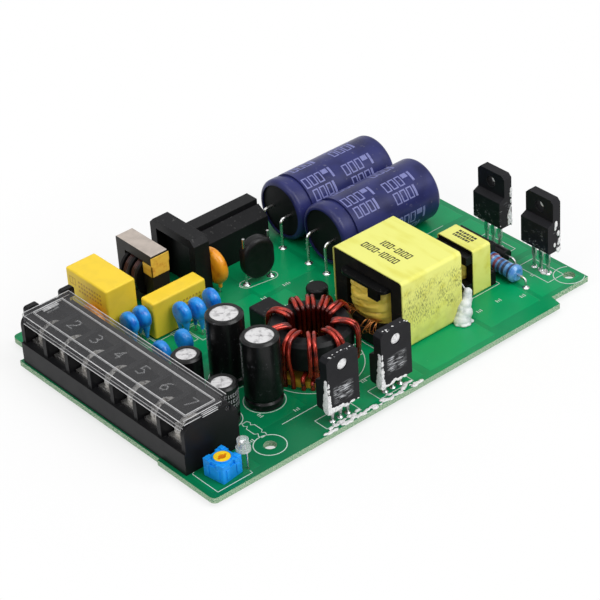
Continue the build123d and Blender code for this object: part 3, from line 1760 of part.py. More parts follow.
def build():
    """All nodes of the power supply by name."""
    contacts, clamps, screws = terminal_parts()
    near_bulk_y, left_bulk_y = bulk_sites()
    nodes = {
        "circuit_board": circuit_board(),
        "solder_joints": solder_joints(),
        "terminal_housing": terminal_housing(),
        "terminal_contacts": contacts,
        "terminal_clamps": clamps,
        "terminal_screws": screws,
        "terminal_cover": terminal_cover(),
        "trimmer_body": trimmer_body(),
        "trimmer_rotor": trimmer_rotor(),
        "indicator_lens": indicator_lens(),
        "component_leads": component_leads(),
        "flat_film_capacitor": flat_film_capacitor(),
        "tall_film_capacitor": tall_film_capacitor(),
        "disc_capacitors": disc_capacitors(),
        "varistor": varistor(),
        "orange_disc": orange_disc(),
        "thermistor": thermistor(),
        "thermistor_wires": thermistor_wires(),
        "choke_core": choke_core(),
        "choke_bobbin": choke_bobbin(),
        "choke_feet": choke_feet(),
        "choke_winding_near": choke_winding(-1),
        "choke_winding_left": choke_winding(1),
        "choke_tape": choke_tape(),
        "frame_moulding": frame_moulding(),
        "bulk_capacitor_near": bulk_can(near_bulk_y),
        "bulk_capacitor_left": bulk_can(left_bulk_y),
        "bulk_bung_near": bulk_bung(near_bulk_y),
        "bulk_bung_left": bulk_bung(left_bulk_y),
        "bulk_wires": bulk_wires(),
        "toroid_core": toroid_core(),
        "toroid_base": toroid_base(),
        "toroid_winding": toroid_winding(),
        "transformer_core_lower": transformer_core_lower(),
        "transformer_core_upper": transformer_core_upper(),
        "transformer_bobbin": transformer_bobbin(),
        "transformer_winding": transformer_winding(),
        "transformer_tape": transformer_tape(),
        "litz_wires": litz_wires(),
        "pulse_core": pulse_core(),
        "pulse_bobbin": pulse_bobbin(),
        "pulse_winding": pulse_winding(),
        "pulse_tape": pulse_tape(),
        "winding_pins": winding_pins(),
        "resistor": resistor(),
        "diode": diode(),
        "axial_wires": group(axial_wires()),
        "film_box": film_box(),
        "drum": drum(),
        "glue_blob": glue_blob(),
    }
    names = ["tall_can_near", "tall_can_left", "small_can_near", "small_can_left"]
    for name, can in zip(names, cans()):
        nodes[name] = can_body(can)
    nodes["capacitor_sleeves"] = group(can_sleeve(can) for can in cans())
    legs = []
    for i, item in enumerate(transistors(), start=1):
        nodes[f"transistor_{i}"] = placed_transistor(item) * transistor_body()
        legs += transistor_legs(item)
    nodes["transistor_legs"] = group(legs)
    return nodes


os.makedirs("parts", exist_ok=True)
for node_name, shape in build().items():
    export_step(shape, f"parts/{node_name}.step")
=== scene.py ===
"""Looks for the open-frame switching power supply: finishes, windings, print, glue and light."""

from __future__ import annotations

import json
import logging
import math
import random
from collections import Counter
from dataclasses import dataclass, field
from enum import Enum
from typing import Any, Iterable, Protocol, Sequence, Union

import bmesh
import bpy
from mathutils import Matrix, Vector, noise

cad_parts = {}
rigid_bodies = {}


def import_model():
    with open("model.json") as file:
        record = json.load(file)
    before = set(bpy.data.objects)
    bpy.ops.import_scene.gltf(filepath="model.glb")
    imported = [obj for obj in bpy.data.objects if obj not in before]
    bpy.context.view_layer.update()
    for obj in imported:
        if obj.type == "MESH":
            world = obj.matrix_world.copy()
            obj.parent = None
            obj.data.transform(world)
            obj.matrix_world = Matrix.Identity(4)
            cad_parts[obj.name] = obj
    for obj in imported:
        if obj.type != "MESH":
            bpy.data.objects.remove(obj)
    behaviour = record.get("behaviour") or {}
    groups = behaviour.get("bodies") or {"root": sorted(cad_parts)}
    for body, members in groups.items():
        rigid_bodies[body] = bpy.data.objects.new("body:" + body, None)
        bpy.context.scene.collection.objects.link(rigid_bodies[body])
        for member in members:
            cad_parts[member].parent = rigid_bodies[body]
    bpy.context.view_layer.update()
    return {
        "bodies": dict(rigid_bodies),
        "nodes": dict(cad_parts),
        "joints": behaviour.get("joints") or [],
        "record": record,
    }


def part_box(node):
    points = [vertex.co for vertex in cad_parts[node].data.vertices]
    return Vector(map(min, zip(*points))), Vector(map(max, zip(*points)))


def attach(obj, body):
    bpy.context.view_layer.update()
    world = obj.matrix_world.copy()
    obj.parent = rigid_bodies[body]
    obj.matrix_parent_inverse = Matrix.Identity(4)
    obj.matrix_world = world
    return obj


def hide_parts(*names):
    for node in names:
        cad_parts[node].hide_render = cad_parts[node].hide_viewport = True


LOG = logging.getLogger("power_supply")
ROOT = "board_assembly"
Point = tuple[float, float, float]
Colour = tuple[float, float, float]


def srgb(red: int, green: int, blue: int) -> Colour:
    """Linear colour from the three display values of a swatch."""

    def linear(value: int) -> float:
        share = value / 255
        return share / 12.92 if share <= 0.04045 else ((share + 0.055) / 1.055) ** 2.4

    return linear(red), linear(green), linear(blue)


# Shader maths


class Signal:
    """One output of a shader node, used like a number in Python expressions."""

    def __init__(self, graph: "Graph", socket: bpy.types.NodeSocket) -> None:
        self.graph = graph
        self.socket = socket

    def _math(self, operation: str, first: "Value", second: "Value" = 0.0) -> "Signal":
        return self.graph.node("ShaderNodeMath", {"operation": operation}, {0: first, 1: second})

    def __add__(self, other: "Value") -> "Signal":
        return self._math("ADD", self, other)

    __radd__ = __add__

    def __mul__(self, other: "Value") -> "Signal":
        return self._math("MULTIPLY", self, other)

    __rmul__ = __mul__

    def __sub__(self, other: "Value") -> "Signal":
        return self._math("SUBTRACT", self, other)

    def __rsub__(self, other: "Value") -> "Signal":
        return self._math("SUBTRACT", other, self)

    def __pow__(self, other: "Value") -> "Signal":
        return self._math("POWER", self, other)

    def __abs__(self) -> "Signal":
        return self._math("ABSOLUTE", self)

    def larger(self, other: "Value") -> "Signal":
        """The larger of the two."""
        return self._math("MAXIMUM", self, other)

    def smaller(self, other: "Value") -> "Signal":
        """The smaller of the two."""
        return self._math("MINIMUM", self, other)

    def ramp(self, low: float, high: float) -> "Signal":
        """Smooth step from 0 at low to 1 at high.

        Args:
            low: Value that gives 0.
            high: Value that gives 1; it may be the smaller of the two.

        Returns:
            A signal between 0 and 1.
        """
        settings = {"interpolation_type": "SMOOTHSTEP", "clamp": True}
        inputs = {"Value": self, "From Min": low, "From Max": high}
        return self.graph.node("ShaderNodeMapRange", settings, inputs)


Value = Union[Signal, float, int]
Tint = Union[Signal, Colour]


class Graph:
    """Node tree of one material, with short calls for the nodes that the finishes share."""

    def __init__(self, name: str) -> None:
        self.material = bpy.data.materials.new(name)
        self.material.use_nodes = True
        self.tree = self.material.node_tree
        self.tree.nodes.clear()

    def feed(self, socket: bpy.types.NodeSocket, value: Any) -> None:
        """Links a signal to a socket, or sets the socket to a plain value."""
        if isinstance(value, Signal):
            self.tree.links.new(value.socket, socket)
        elif isinstance(value, tuple) and socket.type == "RGBA":
            socket.default_value = (*value[:3], 1.0)
        else:
            socket.default_value = value

    def node(
        self, kind: str, settings: dict[str, Any], inputs: dict[Any, Any], output: Any = None
    ) -> Signal:
        """Adds one node.

        Args:
            kind: Blender's type of the node.
            settings: Properties of the node, set before its inputs.
            inputs: Value or signal for each socket, by name or number.
            output: Name or number of the output; the first live one if left out.

        Returns:
            The chosen output as a signal.
        """
        made = self.tree.nodes.new(kind)
        for key, value in settings.items():
            setattr(made, key, value)
        for key, value in inputs.items():
            self.feed(made.inputs[key], value)
        if output is None:
            chosen = next(s for s in made.outputs if s.enabled)
        else:
            chosen = made.outputs[output]
        return Signal(self, chosen)

    def position(self) -> Signal:
        """Place on the piece, in metres of the shared frame."""
        return self.node("ShaderNodeTexCoord", {}, {}, "Object")

    def axes(self) -> tuple[Signal, Signal, Signal]:
        """Place in millimetres from the board's near front corner and its top face."""
        split = self.node("ShaderNodeSeparateXYZ", {}, {"Vector": self.position()}, "X")
        outputs = split.socket.node.outputs
        x, y, z = ((Signal(self, outputs[i]) - BOARD.corner[i]) * 1000.0 for i in range(3))
        return x, y, z

    def normal(self) -> tuple[Signal, Signal, Signal]:
        """Direction of the surface, split into its three parts."""
        facing = self.node("ShaderNodeNewGeometry", {}, {}, "Normal")
        split = self.node("ShaderNodeSeparateXYZ", {}, {"Vector": facing}, "X")
        outputs = split.socket.node.outputs
        x, y, z = (Signal(self, outputs[i]) for i in range(3))
        return x, y, z

    def stretched(self, scale: Point) -> Signal:
        """Place on the piece, stretched along each axis."""
        inputs = {0: self.position(), 1: scale}
        return self.node("ShaderNodeVectorMath", {"operation": "MULTIPLY"}, inputs)

    def grain(self, size_mm: float, detail: float = 2.0, stretch: Point = (1.0, 1.0, 1.0)) -> Signal:
        """Soft random pattern.

        Args:
            size_mm: Width of one lump.
            detail: How much finer pattern lies on it.
            stretch: Factor along each axis.

        Returns:
            A signal of about 0.5, from 0 to 1.
        """
        inputs = {"Vector": self.stretched(stretch), "Scale": 1000.0 / size_mm, "Detail": detail}
        return self.node("ShaderNodeTexNoise", {}, inputs, "Fac")

    def cells(self, size_mm: float, stretch: Point = (1.0, 1.0, 1.0)) -> Signal:
        """Distance to the middle of the nearest of many scattered points."""
        inputs = {"Vector": self.stretched(stretch), "Scale": 1000.0 / size_mm}
        return self.node("ShaderNodeTexVoronoi", {}, inputs, "Distance")

    def mix(self, first: Tint, second: Tint, share: Value) -> Signal:
        """Colour between two colours."""
        made = self.tree.nodes.new("ShaderNodeMix")
        made.data_type = "RGBA"
        live = {s.name: s for s in made.inputs if s.enabled}
        for key, value in {"Factor": share, "A": first, "B": second}.items():
            self.feed(live[key], value)
        return Signal(self, next(s for s in made.outputs if s.enabled))

    def bevelled(self, radius_mm: float) -> Signal:
        """Surface direction with every sharp edge slightly rounded."""
        return self.node("ShaderNodeBevel", {"samples": 4}, {"Radius": radius_mm / 1000})

    def edges(self, radius_mm: float) -> Signal:
        """Mask of sharp edges, from 0 on flats to 1 on an edge."""
        facing = self.node("ShaderNodeNewGeometry", {}, {}, "Normal")
        inputs = {0: self.bevelled(radius_mm), 1: facing}
        same = self.node("ShaderNodeVectorMath", {"operation": "DOT_PRODUCT"}, inputs, "Value")
        return (1.0 - same) * 3.0

    def bump(self, height: Signal, depth_mm: float, round_mm: float = 0.0) -> Signal:
        """Surface direction pushed by a height pattern.

        Args:
            height: Pattern from 0 to 1.
            depth_mm: Height of the pattern.
            round_mm: Radius of the softened edges, or 0 for sharp ones.

        Returns:
            The new surface direction.
        """
        inputs: dict[str, Any] = {"Height": height, "Distance": depth_mm / 1000, "Strength": 1.0}
        if round_mm:
            inputs["Normal"] = self.bevelled(round_mm)
        return self.node("ShaderNodeBump", {}, inputs, "Normal")

    def surface(self, **inputs: Any) -> bpy.types.Material:
        """Ends the tree in one principled surface, by socket names with _ for a space."""
        named = {key.replace("_", " "): value for key, value in inputs.items()}
        shader = self.node("ShaderNodeBsdfPrincipled", {}, named, "BSDF")
        self.node_out(shader)
        return self.material

    def blend(self, first: Signal, second: Signal, share: Signal) -> None:
        """Ends the tree in a mix of two shaders."""
        self.node_out(self.node("ShaderNodeMixShader", {}, {0: share, 1: first, 2: second}))

    def node_out(self, shader: Signal) -> None:
        """Connects a shader to the material's output."""
        output = self.tree.nodes.new("ShaderNodeOutputMaterial")
        self.tree.links.new(shader.socket, output.inputs["Surface"])


# Finishes


@dataclass(frozen=True)
class Finish:
    """A finish of one real material; each is made once and then shared."""

    name: str

    def paint(self, graph: Graph) -> bpy.types.Material:
        """Builds the material's nodes."""
        raise NotImplementedError

    def material(self) -> bpy.types.Material:
        """The finished material, from the store when it was made before."""
        look = f"{self.name}_look"
        known = bpy.data.materials.get(look)
        return known if known else self.paint(Graph(look))


@dataclass(frozen=True)
class Moulded(Finish):
    """Moulded plastic: fine grain, slight cloudiness, paler worn edges and a little dust."""

    colour: Colour = (0.03, 0.03, 0.033)
    roughness: float = 0.45
    grain_mm: float = 0.35
    depth_mm: float = 0.006
    round_mm: float = 0.18
    wear: float = 0.35
    dust: float = 0.25
    specular: float = 0.14
    cloudy: float = 0.2

    def paint(self, graph: Graph) -> bpy.types.Material:
        """Builds the material's nodes."""
        cloud = graph.grain(4.0, 3.0)
        fine = graph.grain(self.grain_mm, 3.0)
        pale = tuple(min(1.0, c * 1.35 + 0.03) for c in self.colour)
        dark = tuple(c * (1.0 - self.cloudy) for c in self.colour)
        tint = graph.mix(dark, self.colour, cloud.ramp(0.3, 0.6))
        worn = graph.edges(self.round_mm * 1.6).smaller(1.0) * self.wear * fine.ramp(0.35, 0.6)
        tint = graph.mix(tint, pale, worn)
        _, _, up = graph.normal()
        specks = graph.grain(0.9, 6.0).ramp(0.62, 0.74) * up.ramp(0.2, 0.9) * self.dust
        tint = graph.mix(tint, (0.62, 0.62, 0.6), specks)
        rough = self.roughness + (cloud - 0.5) * 0.22 + specks * 0.3
        normal = graph.bump(fine, self.depth_mm, self.round_mm)
        return graph.surface(
            Base_Color=tint, Roughness=rough, Normal=normal, Specular_IOR_Level=self.specular
        )


@dataclass(frozen=True)
class Dipped(Finish):
    """Dipped lacquer over a disc or slab: glossy, softly wavy, darker where it is thick."""

    colour: Colour = (0.05, 0.3, 0.7)
    shade: Colour = (0.03, 0.18, 0.5)
    roughness: float = 0.3
    coat: float = 0.4
    specular: float = 0.3

    def paint(self, graph: Graph) -> bpy.types.Material:
        """Builds the material's nodes."""
        cloud = graph.grain(2.6, 2.0)
        speck = graph.grain(0.3, 3.0)
        tint = graph.mix(self.shade, self.colour, cloud.ramp(0.28, 0.55))
        pale = tuple(min(1.0, c * 1.3 + 0.05) for c in self.colour)
        tint = graph.mix(tint, pale, speck.ramp(0.62, 0.8) * 0.4)
        rough = self.roughness + (speck - 0.5) * 0.15
        normal = graph.bump(cloud * 0.8 + speck * 0.06, 0.16)
        return graph.surface(
            Base_Color=tint,
            Roughness=rough,
            Normal=normal,
            Specular_IOR_Level=self.specular,
            Coat_Weight=self.coat,
            Coat_Roughness=0.12,
        )


@dataclass(frozen=True)
class Metal(Finish):
    """Bare or plated metal with drawn or brushed marks and a little tarnish."""

    colour: Colour = (0.72, 0.72, 0.7)
    tarnish: Colour = (0.42, 0.4, 0.36)
    roughness: float = 0.28
    stretch: Point = (1.0, 1.0, 1.0)
    grain_mm: float = 0.5
    depth_mm: float = 0.012
    round_mm: float = 0.08

    def paint(self, graph: Graph) -> bpy.types.Material:
        """Builds the material's nodes."""
        marks = graph.grain(self.grain_mm, 4.0, self.stretch)
        patches = graph.grain(1.8, 3.0)
        tint = graph.mix(self.colour, self.tarnish, patches.ramp(0.5, 0.78) * 0.55)
        rough = self.roughness + (marks - 0.5) * 0.3 + patches.ramp(0.45, 0.75) * 0.14
        normal = graph.bump(marks, self.depth_mm, self.round_mm)
        return graph.surface(Base_Color=tint, Roughness=rough, Metallic=1.0, Normal=normal)


@dataclass(frozen=True)
class Plated(Finish):
    """Bright plated fasteners, dull and dark where the plating is stained."""

    bright: Colour = srgb(252, 250, 246)
    stain: Colour = srgb(92, 86, 80)

    def paint(self, graph: Graph) -> bpy.types.Material:
        """Builds the material's nodes."""
        spots = graph.grain(0.9, 4.0)
        fine = graph.grain(0.3, 3.0)
        stained = spots.ramp(0.5, 0.56)
        tint = graph.mix(self.bright, self.stain, stained * 0.85)
        rough = 0.24 + stained * 0.3 + (fine - 0.5) * 0.2
        normal = graph.bump(fine + spots, 0.08, 0.1)
        return graph.surface(Base_Color=tint, Roughness=rough, Metallic=0.4, Normal=normal)


@dataclass(frozen=True)
class Enamel(Finish):
    """Enamelled copper wire: metal under a coloured coat, with painted shade inside a ring if one is
    given.
    """

    colour: Colour = (0.5, 0.1, 0.05)
    shade: Colour = (0.22, 0.035, 0.02)
    metallic: float = 0.55
    roughness: float = 0.26
    # Middle x, y and radius in mm of a ring core's hole; wire inside it gets painted shade.
    ring: tuple[float, float, float] | None = None

    def paint(self, graph: Graph) -> bpy.types.Material:
        """Builds the material's nodes."""
        cloud = graph.grain(2.2, 3.0)
        fine = graph.grain(0.3, 3.0)
        tint = graph.mix(self.shade, self.colour, cloud.ramp(0.28, 0.6))
        # Painted shade: wire inside the ring core's hole is darkened to stand in for the shadow there.
        if self.ring:
            x, y, _ = graph.axes()
            middle_x, middle_y, radius = self.ring
            reach = ((x - middle_x) ** 2.0 + (y - middle_y) ** 2.0) ** 0.5
            dark = tuple(c * 0.35 for c in self.shade)
            tint = graph.mix(tint, dark, reach.ramp(radius + 0.5, radius - 0.7) * 0.85)
        rough = self.roughness + (fine - 0.5) * 0.2
        normal = graph.bump(fine, 0.01)
        return graph.surface(
            Base_Color=tint,
            Roughness=rough,
            Metallic=self.metallic,
            Normal=normal,
            Coat_Weight=0.3,
            Coat_Roughness=0.1,
        )


@dataclass(frozen=True)
class Tape(Finish):
    """Yellow insulating film wound in layers, with fine creases and scuffs on its near side."""

    colour: Colour = (0.85, 0.86, 0.3)
    deep: Colour = (0.66, 0.66, 0.13)
    scuff_y: float = -1000.0
    crease_mm: float = 3.0

    def paint(self, graph: Graph) -> bpy.types.Material:
        """Builds the material's nodes."""
        creases = graph.grain(self.crease_mm, 2.0, (1.0, 0.25, 1.0))
        fine = graph.grain(0.4, 4.0)
        tint = graph.mix(self.deep, self.colour, creases.ramp(0.15, 0.55))
        _, along, height = graph.axes()
        near = along.ramp(self.scuff_y + 0.6, self.scuff_y + 0.2)
        middle = height.ramp(4.0, 8.5) * height.ramp(19.0, 15.5)
        rubbed = graph.grain(3.4, 3.0).ramp(0.3, 0.62)
        streaks = graph.grain(0.5, 5.0, (1.8, 1.0, 0.55)).ramp(0.46, 0.62)
        scuffs = near * middle * rubbed * streaks
        # Colour only: the near side darkens and greys towards the bottom, in patches.
        near_low_darkening = near * height.ramp(20.0, 6.0) * graph.grain(5.0, 3.0).ramp(0.3, 0.7)
        tint = graph.mix(tint, srgb(196, 196, 110), near_low_darkening * 0.5)
        tint = graph.mix(tint, srgb(96, 98, 40), scuffs * 0.8)
        rough = 0.32 + fine * 0.1 + scuffs * 0.3
        normal = graph.bump(creases * 0.7 + fine * 0.05 - scuffs * 0.1, 0.18, 0.25)
        return graph.surface(
            Base_Color=tint,
            Roughness=rough,
            Normal=normal,
            Specular_IOR_Level=0.35,
            Coat_Weight=0.12,
            Coat_Roughness=0.2,
        )


@dataclass(frozen=True)
class Ferrite(Finish):
    """Ground sintered ferrite: matt, fine pores, chalky edges."""

    colour: Colour = (0.05, 0.05, 0.052)
    chalk: Colour = (0.2, 0.2, 0.19)
    roughness: float = 0.6
    round_mm: float = 0.15

    def paint(self, graph: Graph) -> bpy.types.Material:
        """Builds the material's nodes."""
        pores = graph.cells(0.35)
        cloud = graph.grain(3.0, 4.0)
        tint = graph.mix(self.colour, self.chalk, cloud.ramp(0.45, 0.85) * 0.35)
        tint = graph.mix(tint, self.chalk, graph.edges(0.3).smaller(1.0) * 0.4)
        rough = self.roughness + (cloud - 0.5) * 0.2
        normal = graph.bump(pores.ramp(0.0, 0.5), 0.015, self.round_mm)
        return graph.surface(Base_Color=tint, Roughness=rough, Normal=normal, Specular_IOR_Level=0.15)


@dataclass(frozen=True)
class PaleFerriteShadedBelowTop(Finish):
    """Pale ferrite that shows its own colour only on its top face; every other face is painted dark as
    shade.
    """

    # Painted shade: the dark colour of every face but the top.
    colour: Colour = (0.03, 0.03, 0.03)
    chalk: Colour = (0.1, 0.1, 0.1)
    roughness: float = 0.5
    ferrite_colour: Colour = srgb(196, 184, 174)

    def paint(self, graph: Graph) -> bpy.types.Material:
        """Builds the material's nodes."""
        cloud = graph.grain(3.0, 4.0)
        marks = graph.grain(0.4, 3.0, (0.3, 3.0, 1.0))
        worn = graph.edges(0.3).smaller(1.0) * 0.6 + cloud.ramp(0.5, 0.9) * 0.2
        tint = graph.mix(self.colour, self.chalk, worn)
        _, _, up = graph.normal()
        _, _, height = graph.axes()
        # The top face keeps the ferrite's own pale colour; all other faces keep the painted shade.
        top = up.ramp(0.5, 0.8) * height.ramp(16.0, 16.5)
        brushed = cloud.ramp(0.35, 0.7) * 0.5 + marks.ramp(0.5, 0.7) * 0.3
        pale = graph.mix(self.ferrite_colour, srgb(164, 154, 146), brushed)
        tint = graph.mix(tint, pale, top)
        rough = self.roughness - top * 0.15 + (cloud - 0.5) * 0.2
        normal = graph.bump(marks, 0.01, 0.15)
        return graph.surface(Base_Color=tint, Roughness=rough, Normal=normal, Specular_IOR_Level=0.3)


@dataclass(frozen=True)
class Sleeve(Finish):
    """Shrunk film over a can: glossy, softly wavy and a little dusty."""

    colour: Colour = (0.06, 0.06, 0.2)
    deep: Colour = (0.03, 0.03, 0.11)
    coat: float = 0.4
    roughness: float = 0.36

    def paint(self, graph: Graph) -> bpy.types.Material:
        """Builds the material's nodes."""
        cloud = graph.grain(7.0, 2.0)
        fine = graph.grain(0.5, 4.0)
        tint = graph.mix(self.deep, self.colour, cloud.ramp(0.25, 0.65))
        dust = graph.grain(1.2, 6.0).ramp(0.62, 0.78) * 0.2
        tint = graph.mix(tint, (0.5, 0.5, 0.56), dust)
        rough = self.roughness + (fine - 0.5) * 0.16 + dust * 0.4
        normal = graph.bump(cloud * 0.9 + fine * 0.03, 0.22)
        return graph.surface(
            Base_Color=tint,
            Roughness=rough,
            Normal=normal,
            Specular_IOR_Level=0.22,
            Coat_Weight=self.coat,
            Coat_Roughness=0.22,
        )


@dataclass(frozen=True)
class Clear(Finish):
    """Clear moulded plastic: a thin film that thickens at a flat angle, with fine scratches."""

    colour: Colour = (0.6, 0.61, 0.62)
    film: float = 0.03
    rim: float = 0.45
    roughness: float = 0.06
    metallic: float = 0.5
    specular: float = 0.4

    def paint(self, graph: Graph) -> bpy.types.Material:
        """Builds the material's nodes."""
        waves = graph.grain(9.0, 1.0)
        scratches = graph.grain(2.5, 4.0, (0.15, 2.0, 1.0)).ramp(0.56, 0.7)
        facing = graph.node("ShaderNodeLayerWeight", {}, {"Blend": 0.5}, "Facing")
        veil = (facing**3.0) * self.rim + scratches * 0.012 + self.film
        return graph.surface(
            Base_Color=self.colour,
            Metallic=self.metallic,
            Roughness=self.roughness + scratches * 0.1,
            Alpha=veil,
            Normal=graph.bump(waves, 0.03),
            Specular_IOR_Level=self.specular,
        )


@dataclass(frozen=True)
class BoardLacquer(Finish):
    """Green lacquer over copper areas, bare laminate at the board's edges, and painted shade towards the
    corner at x = 0, y = 0.
    """

    pours: tuple[tuple[float, float, float, float], ...] = (
        (1.5, 2.5, 16.5, 11.0),
        (1.5, 82.5, 50.0, 90.5),
        (18.5, 13.5, 40.5, 47.0),
        (18.5, 49.0, 63.5, 62.0),
        (42.0, 2.0, 70.0, 10.5),
        (41.5, 39.5, 63.0, 47.5),
        (65.0, 33.0, 71.5, 57.5),
        (64.5, 59.5, 84.0, 89.5),
        (72.5, 2.0, 95.5, 39.0),
        (85.5, 50.0, 130.0, 89.5),
        (97.0, 5.0, 115.0, 47.5),
        (116.5, 5.5, 130.5, 22.5),
        (116.5, 24.5, 130.5, 47.5),
    )

    def paint(self, graph: Graph) -> bpy.types.Material:
        """Builds the material's nodes."""
        x, y, _ = graph.axes()
        wavy = (graph.grain(5.0, 1.0) - 0.5) * 0.5
        covered: Signal | None = None
        for x0, y0, x1, y1 in self.pours:
            across = abs(x + wavy - (x0 + x1) / 2) - (x1 - x0) / 2
            along = abs(y - wavy - (y0 + y1) / 2) - (y1 - y0) / 2
            inside = across.larger(along).ramp(0.12, -0.12)
            covered = inside if covered is None else covered.larger(inside)
        cloud = graph.grain(9.0, 3.0)
        fine = graph.grain(0.25, 2.0)
        bright = srgb(0, 158, 96)
        deep = srgb(0, 112, 70)
        # Painted shade: the lacquer darkens towards the corner at x = 0, y = 0, where less light falls.
        shade = (x + y * 0.6).ramp(80.0, 30.0) * 0.55
        tint = graph.mix(deep, bright, covered * 0.35 + cloud.ramp(0.3, 0.7) * 0.2 + 0.42)
        tint = graph.mix(tint, srgb(2, 82, 54), shade)
        flux = graph.grain(1.4, 5.0).ramp(0.64, 0.8) * 0.25
        tint = graph.mix(tint, srgb(120, 175, 150), flux)
        _, _, facing = graph.normal()
        side = abs(facing).ramp(0.7, 0.4)
        fibre = graph.grain(0.4, 3.0, (1.0, 1.0, 5.0))
        edge = graph.mix(srgb(60, 132, 92), srgb(188, 204, 176), fibre.ramp(0.36, 0.62))
        tint = graph.mix(tint, edge, side)
        rough = 0.26 + fine * 0.1 + side * 0.4 + flux * 0.6
        normal = graph.bump(covered * 0.8 + fine * 0.05, 0.04, 0.12)
        return graph.surface(Base_Color=tint, Roughness=rough, Normal=normal, Specular_IOR_Level=0.25)


@dataclass(frozen=True)
class Print(Finish):
    """Printing ink, thin in places."""

    colour: Colour = (0.8, 0.82, 0.8)
    thin: Colour = (0.45, 0.6, 0.52)

    def paint(self, graph: Graph) -> bpy.types.Material:
        """Builds the material's nodes."""
        patches = graph.grain(0.5, 4.0)
        tint = graph.mix(self.colour, self.thin, patches.ramp(0.52, 0.72) * 0.6)
        rough = 0.55 + (patches - 0.5) * 0.2
        return graph.surface(Base_Color=tint, Roughness=rough)


@dataclass(frozen=True)
class Paste(Finish):
    """White silicone: thermal paste or glue, lumpy and a little translucent."""

    colour: Colour = (0.86, 0.87, 0.86)
    shade: Colour = (0.68, 0.7, 0.7)
    lump_mm: float = 0.7
    roughness: float = 0.42

    def paint(self, graph: Graph) -> bpy.types.Material:
        """Builds the material's nodes."""
        lumps = graph.grain(self.lump_mm, 4.0)
        tint = graph.mix(self.shade, self.colour, lumps.ramp(0.3, 0.55))
        rough = self.roughness + (lumps - 0.5) * 0.3
        normal = graph.bump(lumps, 0.12)
        return graph.surface(
            Base_Color=tint,
            Roughness=rough,
            Normal=normal,
            Subsurface_Weight=0.3,
            Subsurface_Radius=(0.001, 0.001, 0.001),
            Subsurface_Scale=0.6,
        )


@dataclass(frozen=True)
class CanTop(Finish):
    """Bright drawn aluminium of a capacitor's top, with darker patches."""

    def paint(self, graph: Graph) -> bpy.types.Material:
        """Builds the material's nodes."""
        fine = graph.grain(0.3, 3.0)
        patches = graph.grain(1.6, 3.0)
        tint = graph.mix(srgb(228, 227, 228), srgb(128, 126, 128), patches.ramp(0.46, 0.68) * 0.6)
        rough = 0.4 + (fine - 0.5) * 0.25
        normal = graph.bump(patches * 0.7 + fine * 0.1, 0.25, 0.06)
        return graph.surface(Base_Color=tint, Roughness=rough, Metallic=0.25, Normal=normal)


@dataclass(frozen=True)
class Case(Finish):
    """Moulded transistor case with thin smears of white paste on its outer sides."""

    colour: Colour = srgb(23, 23, 27)

    def paint(self, graph: Graph) -> bpy.types.Material:
        """Builds the material's nodes."""
        x, y, z = graph.axes()
        fine = graph.grain(0.25, 3.0)
        cloud = graph.grain(3.0, 3.0)
        tint = graph.mix(tuple(c * 0.75 for c in self.colour), self.colour, cloud.ramp(0.3, 0.6))
        worn = graph.edges(0.2).smaller(1.0) * 0.35 * fine.ramp(0.35, 0.6)
        tint = graph.mix(tint, srgb(96, 96, 100), worn)
        streaks = graph.grain(0.8, 5.0, (0.35, 1.0, 2.4)).ramp(0.5, 0.66)
        band = z.ramp(6.0, 7.6) * z.ramp(12.0, 10.6)
        centre = abs(abs(x - 52.1) - 8.9).ramp(3.6, 2.2)
        near = y.ramp(1.9, 1.7) * band * centre
        far = x.ramp(122.0, 124.0) * z.ramp(17.0, 11.0) * graph.grain(2.2, 3.0).ramp(0.5, 0.62)
        smear = near.larger(far * 0.8) * streaks
        film = near * graph.grain(1.6, 3.0).ramp(0.4, 0.6) * 0.16
        tint = graph.mix(tint, srgb(206, 208, 212), (smear * 0.8 + film).smaller(1.0))
        rough = 0.44 + (fine - 0.5) * 0.2 + smear * 0.2
        normal = graph.bump(fine * 0.2 + smear, 0.05, 0.12)
        return graph.surface(Base_Color=tint, Roughness=rough, Normal=normal, Specular_IOR_Level=0.15)


@dataclass(frozen=True)
class Banded(Finish):
    """Resistor body: blue lacquer with colour bands round it."""

    centre_y: float = 20.2

    def paint(self, graph: Graph) -> bpy.types.Material:
        """Builds the material's nodes."""
        _, y, _ = graph.axes()
        cloud = graph.grain(1.6, 2.0)
        tint = graph.mix(srgb(60, 128, 205), srgb(110, 170, 228), cloud.ramp(0.3, 0.65))
        bands = (
            (3.6, srgb(120, 40, 45)),
            (1.8, srgb(150, 55, 60)),
            (0.2, srgb(70, 60, 80)),
            (-1.4, srgb(40, 45, 60)),
            (-3.6, srgb(40, 40, 60)),
        )
        for offset, colour in bands:
            inside = abs(y - (self.centre_y + offset)).ramp(0.52, 0.42)
            tint = graph.mix(tint, colour, inside * 0.9)
        normal = graph.bump(cloud, 0.08)
        return graph.surface(Base_Color=tint, Roughness=0.3 + cloud * 0.1, Normal=normal, Coat_Weight=0.5)


